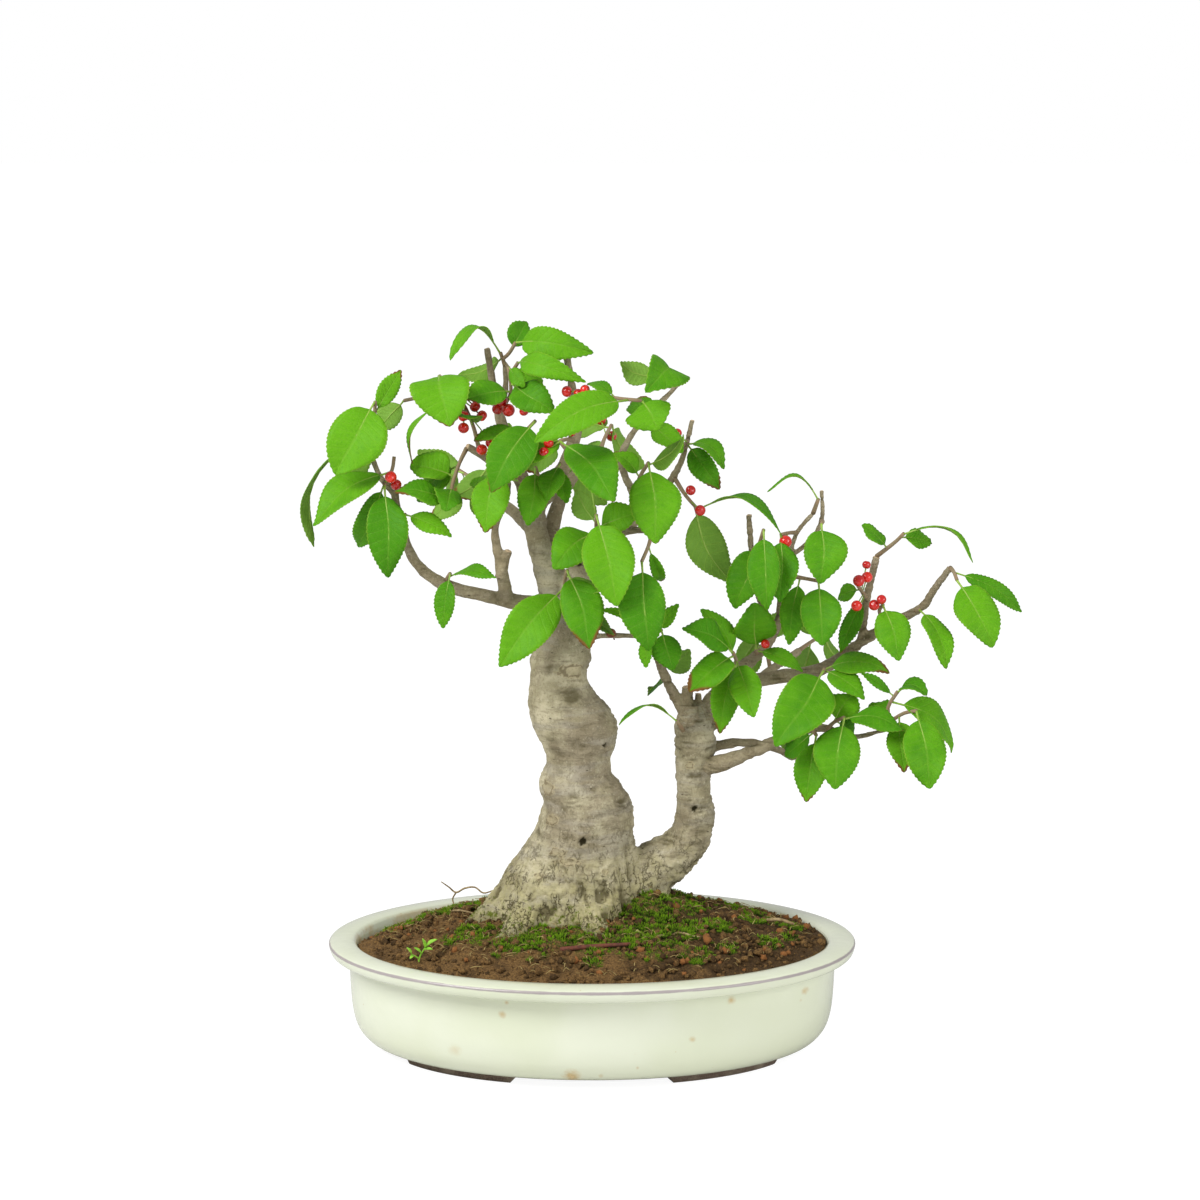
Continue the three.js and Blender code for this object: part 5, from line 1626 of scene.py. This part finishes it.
def bark_relief(place):
    """How far the bark stands out at a place: lumps, level wrinkles, and furrows by the roots."""
    x, y, z = place
    lumps = noise.noise(place / 8) * 0.7 + noise.noise(place / 3.2) * 0.3
    level = z + 3 * waves(x, y, z, 10, 12)
    zone = blend(-0.45, 0.35, noise.noise(Vector((x / 15 + 3, y / 15, z / 22))) + x / 55)
    wrinkle = 0.25 - abs(waves(x, y, level, 13, 1.7)) * 1.5
    folds = abs(waves(x, y, level, 18, 4.5)) * -1.1
    rough = noise.noise(place / 1.1) * 0.12
    low = blend(*LOW_BARK, z)
    bent = x + 6 * waves(x, y, z, 16, 16)
    furrow = -abs(waves(bent, y, z, 6.5, 15)) * 2.6
    crack = -blend(0.12, 0, abs(waves(bent, y, z, 3.4, 5.5))) * 0.6
    fibre = -abs(waves(bent, y, z, 1.8, 6)) * 1.1 + crack
    return lumps + (wrinkle * zone + folds) * (1 - low * 0.8) + rough + (furrow + fibre) * low


def shape_bark(bm, stems, strength):
    """Moves the skin by the bark's relief and marks cut ends, hollows, scars, young wood and the deep
    grooves where shade is painted.
    """
    cut, hollow, young, scar, groove_shade = [bm.verts.layers.float.new(name) for name in BARK_MARKS]
    axis = [(point, size) for route, radii in stems
            for point, size in zip(smooth_path(route, 6), smooth_sizes(radii, 6))]
    tree = KDTree(len(axis))
    for index, (point, _) in enumerate(axis):
        tree.insert(point, index)
    tree.balance()
    ends = [(Vector(route[-1]), (Vector(route[-1]) - Vector(route[-2])).normalized(), radii[-1])
            for route, radii in stems if route[-1] in CUT_ENDS]
    moves = []
    for corner in bm.verts:
        place = corner.co
        _, index, _ = tree.find(place)
        size = axis[index][1]
        corner[young] = blend(*YOUNG_SIZE, size)
        for end, tangent, radius in ends:
            gap = place - end
            if gap.length < radius * 1.4 + 0.4:
                corner[cut] = max(corner[cut], blend(*CUT_FADE, gap.dot(tangent)))
        relief = bark_relief(place)
        shift = GROOVE_SHIFT * blend(*LOW_BARK, place.z)
        # Deep grooves of the relief, where the bark is darkened with painted shade
        corner[groove_shade] = blend(*(depth - shift for depth in GROOVE_DEPTH), relief) * (1 - corner[cut])
        push = relief * min(1, size / 7 + 0.12) * strength * (1 - corner[cut])
        for x, y, z, radius in KNOTS:
            gap = (place - Vector((x, y, z))).length / radius
            if gap < 3:
                gap *= 1 + 0.55 * noise.noise(place / (radius * 0.6))
                deep = blend(0.95, 0.35, gap)
                corner[hollow] = max(corner[hollow], deep)
                push += radius * (blend(2.5, 1.2, gap) * (0.28 + 0.12 * math.sin(gap * 7)) - deep)
        for x, y, z, wide, high in SCARS:
            gap = place - Vector((x, y, z))
            if abs(gap.y) < SCAR_DEPTH:
                reach = math.hypot(gap.x / wide, gap.z / high) * (1 + 0.5 * noise.noise(place / 1.8))
                ring = blend(0.4, 0.1, abs(reach - 1))
                corner[scar] = max(corner[scar], ring, blend(1, 0.8, reach) * 0.5)
                push += ring * 0.6 - blend(1, 0.5, reach) * 0.3
        moves.append(corner.normal * push)
    for corner, move in zip(bm.verts, moves):
        corner.co += move


def trunk_tube(bm):
    """The trunk from the root pad up to its fork."""
    centres = smooth_path([ring[:3] for ring in TRUNK_RINGS], 4)
    sizes = smooth_path([(*ring[3:], ring[2]) for ring in TRUNK_RINGS], 4)
    frames = [
        Matrix.LocRotScale(centre, None, (size.x, size.y, 1)) for centre, size in zip(centres, sizes)
    ]
    extrude_along(bm, frames, TRUNK_SIDES)


class BONSAI_OT_trunk(bpy.types.Operator):
    """The two trunks with their roots and the fork, under wrinkled bark"""

    bl_idname = "bonsai.trunk"
    bl_label = "Trunk"

    def execute(self, context):
        settings = context.scene.bonsai_wood
        bm = bmesh.new()
        trunk_tube(bm)
        thick = [
            (LIMBS[number][0][:count], LIMBS[number][1][:count]) for number, count in THICK_STEMS.items()
        ]
        stems = [*thick, *LIMBS[-ROOT_COUNT:]]
        for route, radii in stems:
            stem(bm, route, radii, 32, 6)
        bmesh.ops.recalc_face_normals(bm, faces=bm.faces)
        skinned(bm, settings.trunk_voxel / MM)
        trunk = ([ring[:3] for ring in TRUNK_RINGS], [ring[3] for ring in TRUNK_RINGS])
        shape_bark(bm, [trunk, *stems], settings.relief)
        finish(bm, "trunk_bark", [bark_finish(settings)], ["tree"])
        return {"FINISHED"}


class BONSAI_OT_branches(bpy.types.Operator):
    """All limbs, branches and cut stubs that leave the trunks"""

    bl_idname = "bonsai.branches"
    bl_label = "Branches"

    def execute(self, context):
        settings = context.scene.bonsai_wood
        bm = bmesh.new()
        limbs = []
        for number, (route, radii) in enumerate(LIMBS[:-ROOT_COUNT]):
            start = max(0, THICK_STEMS.get(number, 1) - 2)
            if len(route) - start > 1:
                limbs.append((route[start:], radii[start:]))
        for route, radii in limbs:
            stem(bm, route, radii, 16, 6)
        bmesh.ops.recalc_face_normals(bm, faces=bm.faces)
        skinned(bm, settings.branch_voxel / MM)
        shape_bark(bm, limbs, settings.relief)
        finish(bm, "branch_bark", [bpy.data.materials["ringed_bark"]], ["tree"])
        return {"FINISHED"}


class LeafSettings(bpy.types.PropertyGroup):
    """Sizes and colours of leaves and berries"""

    tooth: FloatProperty(
        name="Tooth pitch", description="Distance between teeth", unit="LENGTH", default=0.0017, min=0.001
    )
    thickness: FloatProperty(
        name="Thickness", description="Thickness of a blade", unit="LENGTH", default=0.0003, min=0.0001
    )
    quilting: FloatProperty(
        name="Quilting", description="Rise between the veins", unit="LENGTH", default=0.00016, min=0
    )
    seed: IntProperty(name="Seed", description="Another set of small differences", default=11)
    leaf: paint("Leaf", "Upper face", 74, 150, 4)
    leaf_light: paint("Young leaf", "Upper face of young leaves", 112, 186, 18)
    under: paint("Underside", "Lower face", 112, 160, 48)
    under_light: paint("Young underside", "Lower face of young leaves", 140, 188, 74)
    vein: paint("Veins", "Ribs and veins", 156, 204, 74)
    rim: paint("Rim", "Edge of the teeth", 168, 204, 66)
    glow: paint("Glow", "Light that comes through", 110, 186, 10)
    berry: paint("Berry", "Ripe fruit", 230, 40, 26)
    berry_deep: paint("Deep berry", "Shaded fruit", 196, 18, 14)


def blade_outline(share):
    """Half width of a blade, as a part of its widest, at a share of its length."""
    return math.sin(math.pi * share ** 0.86) ** 0.68 * (1 - 0.36 * share ** 6)


def thicken(bm, faces, thickness):
    """Gives a sheet an underside, straight below its corners, and a rim."""
    shell = bmesh.ops.extrude_face_region(bm, geom=faces, use_keep_orig=True)["geom"]
    under = [part for part in shell if isinstance(part, bmesh.types.BMFace)]
    corners = [part for part in shell if isinstance(part, bmesh.types.BMVert)]
    for corner in corners:
        corner.normal_update()
    for corner in corners:
        corner.co -= corner.normal * thickness
    for face in under:
        face.material_index = 1
    skin = {face for corner in corners for face in corner.link_faces}
    bmesh.ops.recalc_face_normals(bm, faces=[*faces, *skin])


def add_leaf(bm, layers, root, tip, width, turn, arch, settings, chance):
    """A toothed blade on its stalk, arched along its rib and folded into a shallow V."""
    blade_map, tone, wear = layers
    axis = tip - root
    length = axis.length
    axis.normalize()
    up = (FACING - FACING.dot(axis) * axis).normalized()
    up.rotate(Quaternion(axis, math.radians(turn)))
    side = axis.cross(up)
    shade, dry = chance.random(), chance.random() ** 3
    teeth = max(LEAST_TEETH, round(length * (1 - STALK_SHARE) / (settings.tooth / MM)))
    rows = 2 * teeth
    columns = BLADE_COLUMNS if width > NARROW_BLADE else NARROW_COLUMNS
    phase = chance.uniform(0, math.tau)
    ripple = chance.uniform(*RIPPLE) * min(1, width / 16)
    twist = chance.uniform(*TWIST)
    sway = chance.uniform(*SWAY) * length
    lean = chance.uniform(*LEAN)
    curl = chance.uniform(*CURL) * length
    fold = FOLD * chance.uniform(*FOLD_RANGE)
    quilting = settings.quilting / MM * min(1, width / 14)

    def rib(share):
        rise = arch * length
        normal = (up * length - axis * rise * math.pi * math.cos(math.pi * share)).normalized()
        swing = side * sway * math.sin(math.pi * share) ** 2
        droop = up * curl * max(0, share - CURL_FROM) ** 2
        return root + axis * share * length + swing + up * rise * math.sin(math.pi * share) - droop, normal

    grid = bmesh.ops.create_grid(bm, x_segments=columns, y_segments=rows, size=0.5)["verts"]
    faces = {face for corner in grid for face in corner.link_faces}
    for face in faces:
        for loop in face.loops:
            loop[blade_map].uv = (loop.vert.co.x + 0.5, loop.vert.co.y + 0.5)
    for corner in grid:
        out, share = 2 * corner.co.x, corner.co.y + 0.5
        row = round(share * rows)
        edge = abs(out) > 0.999
        full_half = width / 2 * max(blade_outline(share), 0.02 if share < 1 else 0)
        half = full_half * (1 + lean * math.copysign(1, out))
        taper = blend(0, 0.1, share) * blend(1, 0.93, share)
        along = share
        if edge and row % 2:
            half += TOOTH_OUT * taper
            along += TOOTH_OUT / rows
        elif edge:
            half -= NOTCH_IN * taper
        full = STALK_SHARE + (1 - STALK_SHARE) * along
        place, normal = rib(full)
        reach = abs(out) * half
        vein = (share * VEIN_PAIRS - abs(out) * VEIN_SLANT + abs(out) ** 2 * VEIN_BEND) % 1
        pillow = math.sin(math.pi * vein) * math.sin(math.pi * min(1, abs(out))) * quilting
        wave = ripple * out * out * math.sin(share * 7.5 + phase + (1.7 if out > 0 else 0)) * taper
        drop = -0.1 * reach * abs(out)
        swing = twist * (share - 0.4) * out * half
        corner.co = (
            place + side * math.copysign(reach * math.cos(fold), out)
            + normal * (reach * math.sin(fold) + pillow + wave + drop + swing)
        )
        corner[tone] = shade
        corner[wear] = dry
    bmesh.ops.remove_doubles(bm, verts=grid, dist=0.02)
    faces = [face for face in faces if face.is_valid]
    bmesh.ops.recalc_face_normals(bm, faces=faces)
    middle = min(faces, key=lambda face: (face.calc_center_median() - rib(0.55)[0]).length)
    if middle.normal.dot(up) < 0:
        bmesh.ops.reverse_faces(bm, faces=faces)
    thicken(bm, faces, settings.thickness / MM)
    spine = [rib(share)[0] - rib(share)[1] * SPINE_DROP for share in SPINE_SHARES]
    scale = 0.55 + 0.45 * min(1, width / 18)
    before = set(bm.faces)
    stem(bm, spine, [radius * scale for radius in SPINE_RADII], 8, 2)
    for face in bm.faces:
        if face not in before:
            face.material_index = 2
            for corner in face.verts:
                corner[tone] = shade


def add_berry(bm, layers, root, centre, diameter, chance):
    """A round berry on a thin stalk, with the dark scar of its flower at the far side."""
    _, tone, _, scar = layers
    towards = (centre - root).normalized()
    turn = Vector((0, 0, 1)).rotation_difference(towards)
    radius = diameter / 2
    before = set(bm.faces)
    crook = root.lerp(centre, 0.5) + Vector((0, 0, 0.25))
    stem(bm, [root, crook, centre - towards * radius * 0.8], BERRY_STALK, 6, 2)
    for face in bm.faces:
        if face not in before:
            face.material_index = 2
    before = set(bm.faces)
    fruit = bmesh.ops.create_uvsphere(
        bm, u_segments=18, v_segments=12, radius=radius,
        matrix=Matrix.LocRotScale(centre, turn, (1, 1, BERRY_SQUASH)),
    )["verts"]
    shade = chance.uniform(-1, 1)
    for corner in fruit:
        level = (corner.co - centre).dot(towards) / radius
        corner[tone] = shade
        corner[scar] = blend(*SCAR_FADE, level)
        corner.co -= towards * blend(0.8, 0.95, level) * 0.22 - towards * blend(-0.8, -0.95, level) * 0.3
    for face in bm.faces:
        if face not in before:
            face.material_index = 4


def wood_surface():
    """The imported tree's surface, for finding where a twig leaves it."""
    bm = bmesh.new()
    bm.from_mesh(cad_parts["tree"].data)
    bm.transform(TO_POT)
    surface = BVHTree.FromBMesh(bm)
    bm.free()
    return surface


def clear_of_bark(route, wood):
    """The route with its first point moved out of the wood, a small gap clear of it."""
    inside, outside = (Vector(point) for point in route[:2])
    inwards = (inside - outside).normalized()
    place = wood.ray_cast(outside, inwards)[0]
    return [place - inwards * TWIG_GAP, *route[1:]] if place else route


def on_route(route, share):
    """A point at a share of a smooth route's length."""
    path = smooth_path(route, 8)
    lengths = [(b - a).length for a, b in zip(path, path[1:])]
    left = share * sum(lengths)
    for start, end, length in zip(path, path[1:], lengths):
        if left <= length:
            return start.lerp(end, left / length)
        left -= length
    return path[-1]


def build_spray(name, spray, settings, materials, wood, replaced):
    """Twigs, leaves and berries of one spray as one piece."""
    chance = random.Random(f"{name}{settings.seed}")
    bm = bmesh.new()
    blade_map = bm.loops.layers.uv.new("Blade")
    tone, wear, scar = [bm.verts.layers.float.new(layer) for layer in ("tone", "wear", "scar")]
    routes = [clear_of_bark(spray["twigs"][0], wood), *spray["twigs"][1:]]
    for number, route in enumerate(spray["twigs"]):
        stem(bm, route, [TWIG_RADII[min(number, 1)]] + [TWIG_RADII[1]] * (len(route) - 1), TWIG_SIDES, 3)
    for face in bm.faces:
        face.material_index = 3
    for twig, along, tip, width, turn, arch in spray["leaves"]:
        root = on_route(routes[twig], along)
        add_leaf(bm, (blade_map, tone, wear), root, Vector(tip), width, turn, arch, settings, chance)
    for twig, along, centre, diameter in spray.get("berries", []):
        root = on_route(routes[twig], along)
        add_berry(bm, (blade_map, tone, wear, scar), root, Vector(centre), diameter, chance)
    return finish(bm, name, materials, replaced)


class BONSAI_OT_sprays(bpy.types.Operator):
    """Every leafy spray with its toothed leaves, twigs and berries"""

    bl_idname = "bonsai.sprays"
    bl_label = "Leafy sprays"

    def execute(self, context):
        settings = context.scene.bonsai_leaf
        wood = context.scene.bonsai_wood
        materials = [
            blade_finish(settings, False),
            blade_finish(settings, True),
            plain_finish("leaf_stalk"),
            plain_finish("twig", wood.twig),
            berry_finish(settings),
        ]
        surface = wood_surface()
        for name, spray in SPRAYS.items():
            build_spray(f"{name}_leaves", spray, settings, materials, surface, [name])
        return {"FINISHED"}


def add_straw(bm, chance):
    """A thin dry moss fibre that lies on the soil in a shallow arch."""
    x, y = soil_spot(chance, 0.93)
    angle = chance.uniform(0, math.tau)
    reach = Vector((math.cos(angle), math.sin(angle), 0)) * chance.uniform(1.2, 3)
    middle = Vector((x, y, soil_level(x, y) + chance.uniform(0.9, 2.2)))
    start = middle - reach - Vector((0, 0, 1))
    end = middle + reach - Vector((0, 0, chance.uniform(-0.4, 1.2)))
    stem(bm, [start, middle, end], STRAW_RADII, 4, 2)


class BONSAI_OT_litter(bpy.types.Operator):
    """Weed seedling, fallen twig, rootlets and a pale stick on the soil"""

    bl_idname = "bonsai.litter"
    bl_label = "Weed and litter"

    def execute(self, context):
        settings = context.scene.bonsai_leaf
        weed = plain_finish("weed")
        bm = bmesh.new()
        for route, radii in WEED_SHOOTS:
            stem(bm, route, radii, 6, 3)
        for root, tip, width in WEED_LEAVES:
            add_leaflet(bm, Vector(root), Vector(tip), width)
        finish(bm, "weed", [weed], ["seedling"])
        stick = plain_finish("stick")
        bm = bmesh.new()
        stem(bm, *FALLEN_TWIG, 12, 6)
        finish(bm, "red_twig", [stick], ["fallen_twig"])
        fibre = plain_finish("rootlet")
        bm = bmesh.new()
        for route, radii in [*ROOTLETS, LOOSE_ROOT, LOOSE_FORK, PALE_STICK]:
            stem(bm, route, radii, 8, 5)
        finish(bm, "rootlets", [fibre], ["soil"])
        straw = plain_finish("straw")
        chance = random.Random(settings.seed)
        bm = bmesh.new()
        for _ in range(STRAWS):
            add_straw(bm, chance)
        finish(bm, "straw", [straw], ["soil"])
        husk = plain_finish("dried_berry")
        bm = bmesh.new()
        tone, wear, scar = [bm.verts.layers.float.new(layer) for layer in ("tone", "wear", "scar")]
        root, centre = (Vector(place) for place in DRIED_BERRY)
        add_berry(bm, (None, tone, wear, scar), root, centre, DRIED_SIZE, chance)
        for face in bm.faces:
            face.material_index = 0
        finish(bm, "dried_berry", [husk], ["tree"])
        return {"FINISHED"}


def add_leaflet(bm, root, tip, width):
    """A small pointed leaf of the weed."""
    axis = tip - root
    length = axis.length
    axis.normalize()
    up = (WEED_FACING - WEED_FACING.dot(axis) * axis).normalized()
    side = axis.cross(up)
    grid = bmesh.ops.create_grid(bm, x_segments=4, y_segments=6, size=0.5)["verts"]
    faces = list({face for corner in grid for face in corner.link_faces})
    for corner in grid:
        out, share = 2 * corner.co.x, corner.co.y + 0.5
        half = width / 2 * math.sin(math.pi * min(0.97, max(0.05, share))) ** 0.8
        rise = abs(out) * half * 0.35 + math.sin(math.pi * share) * length * 0.1
        corner.co = root + axis * share * length + side * out * half + up * rise
    bmesh.ops.recalc_face_normals(bm, faces=faces)
    bmesh.ops.solidify(bm, geom=faces, thickness=0.25)


class StageSettings(bpy.types.PropertyGroup):
    """Strengths of the lights"""

    key: FloatProperty(
        name="Key light", description="Strength of the main light", unit="POWER", default=22.5
    )
    fill: FloatProperty(
        name="Fill light", description="Strength of the second light", unit="POWER", default=9
    )
    sky: FloatProperty(name="Sky", description="Strength of the even light", default=0.5, min=0)


def add_light(name, place, size, power, aim):
    """A square lamp at a place, in metres, that faces aim."""
    lamp = bpy.data.lights.new(name, "AREA")
    lamp.size, lamp.energy = size, power
    light = bpy.data.objects.new(name, lamp)
    light.location = place
    light.rotation_euler = (aim - Vector(place)).to_track_quat("-Z", "Y").to_euler()
    bpy.context.collection.objects.link(light)


def floor_finish():
    """Matt white that shows hardly any shadow, as on a bright studio table."""
    make = Finish("floor")
    matt = make.surface(tint(*FLOOR_GREY), 0.9)
    bright = make.node("ShaderNodeEmission", None, {"Strength": FLOOR_GLOW})
    seen = make.node("ShaderNodeLightPath").output("Is Camera Ray")
    mixed = make.node("ShaderNodeMixShader", None, {0: seen * FLOOR_SHARE, 1: matt, 2: bright})
    return make.close(mixed)


class BONSAI_OT_stage(bpy.types.Operator):
    """Pale floor, soft light and the photograph's camera"""

    bl_idname = "bonsai.stage"
    bl_label = "Stage"

    def execute(self, context):
        settings = context.scene.bonsai_stage
        bm = bmesh.new()
        bmesh.ops.create_grid(bm, x_segments=1, y_segments=1, size=FLOOR_HALF)
        mesh = bpy.data.meshes.new("floor")
        bm.to_mesh(mesh)
        bm.free()
        mesh.materials.append(floor_finish())
        floor = bpy.data.objects.new("floor", mesh)
        context.collection.objects.link(floor)
        world = bpy.data.worlds.new("studio")
        world.use_nodes = True
        background = world.node_tree.nodes["Background"]
        background.inputs["Color"].default_value = (1, 1, 1, 1)
        rays = world.node_tree.nodes.new("ShaderNodeLightPath")
        strength = world.node_tree.nodes.new("ShaderNodeMapRange")
        strength.inputs["To Min"].default_value = settings.sky
        world.node_tree.links.new(rays.outputs["Is Camera Ray"], strength.inputs["Value"])
        world.node_tree.links.new(strength.outputs[0], background.inputs["Strength"])
        context.scene.world = world
        aim = TO_FRAME @ Vector(VIEW_AIM)
        add_light("key", aim + KEY_PLACE, KEY_SIZE, settings.key, aim)
        add_light("fill", aim + FILL_PLACE, FILL_SIZE, settings.fill, aim)
        lens = bpy.data.cameras.new("camera")
        lens.lens, lens.sensor_width = VIEW_LENS, VIEW_SENSOR
        lens.clip_start, lens.clip_end = VIEW_CLIP
        camera = bpy.data.objects.new("camera", lens)
        back = Vector((0, -math.cos(VIEW_PITCH), math.sin(VIEW_PITCH)))
        camera.location = aim + back * VIEW_DISTANCE * MM
        camera.rotation_euler = (math.pi / 2 - VIEW_PITCH, 0, 0)
        context.collection.objects.link(camera)
        context.scene.camera = camera
        context.scene.view_settings.view_transform = "Standard"
        return {"FINISHED"}


OPERATORS = (
    BONSAI_OT_stage, BONSAI_OT_pot, BONSAI_OT_screens, BONSAI_OT_soil, BONSAI_OT_grains, BONSAI_OT_moss,
    BONSAI_OT_trunk, BONSAI_OT_branches, BONSAI_OT_sprays, BONSAI_OT_litter,
)
SETTINGS = {
    "bonsai_pot": PotSettings, "bonsai_soil": SoilSettings, "bonsai_wood": WoodSettings,
    "bonsai_leaf": LeafSettings, "bonsai_stage": StageSettings,
}


class BONSAI_PT_panel(bpy.types.Panel):
    """Builds the bonsai piece by piece"""

    bl_idname = "BONSAI_PT_panel"
    bl_label = "Winterberry bonsai"
    bl_space_type = "VIEW_3D"
    bl_region_type = "UI"
    bl_category = "Bonsai"

    def draw(self, context):
        for name, group in SETTINGS.items():
            box = self.layout.box()
            for setting in group.__annotations__:
                box.prop(getattr(context.scene, name), setting)
        for operator in OPERATORS:
            self.layout.operator(operator.bl_idname)


def register():
    for name, group in SETTINGS.items():
        bpy.utils.register_class(group)
        setattr(bpy.types.Scene, name, PointerProperty(type=group))
    for kind in (*OPERATORS, BONSAI_PT_panel):
        bpy.utils.register_class(kind)


def unregister():
    for kind in (BONSAI_PT_panel, *reversed(OPERATORS)):
        bpy.utils.unregister_class(kind)
    for name, group in reversed(SETTINGS.items()):
        delattr(bpy.types.Scene, name)
        bpy.utils.unregister_class(group)


def main():
    register()
    for operator in OPERATORS:
        group, name = operator.bl_idname.split(".")
        getattr(getattr(bpy.ops, group), name)()


if __name__ == "__main__":
    main()
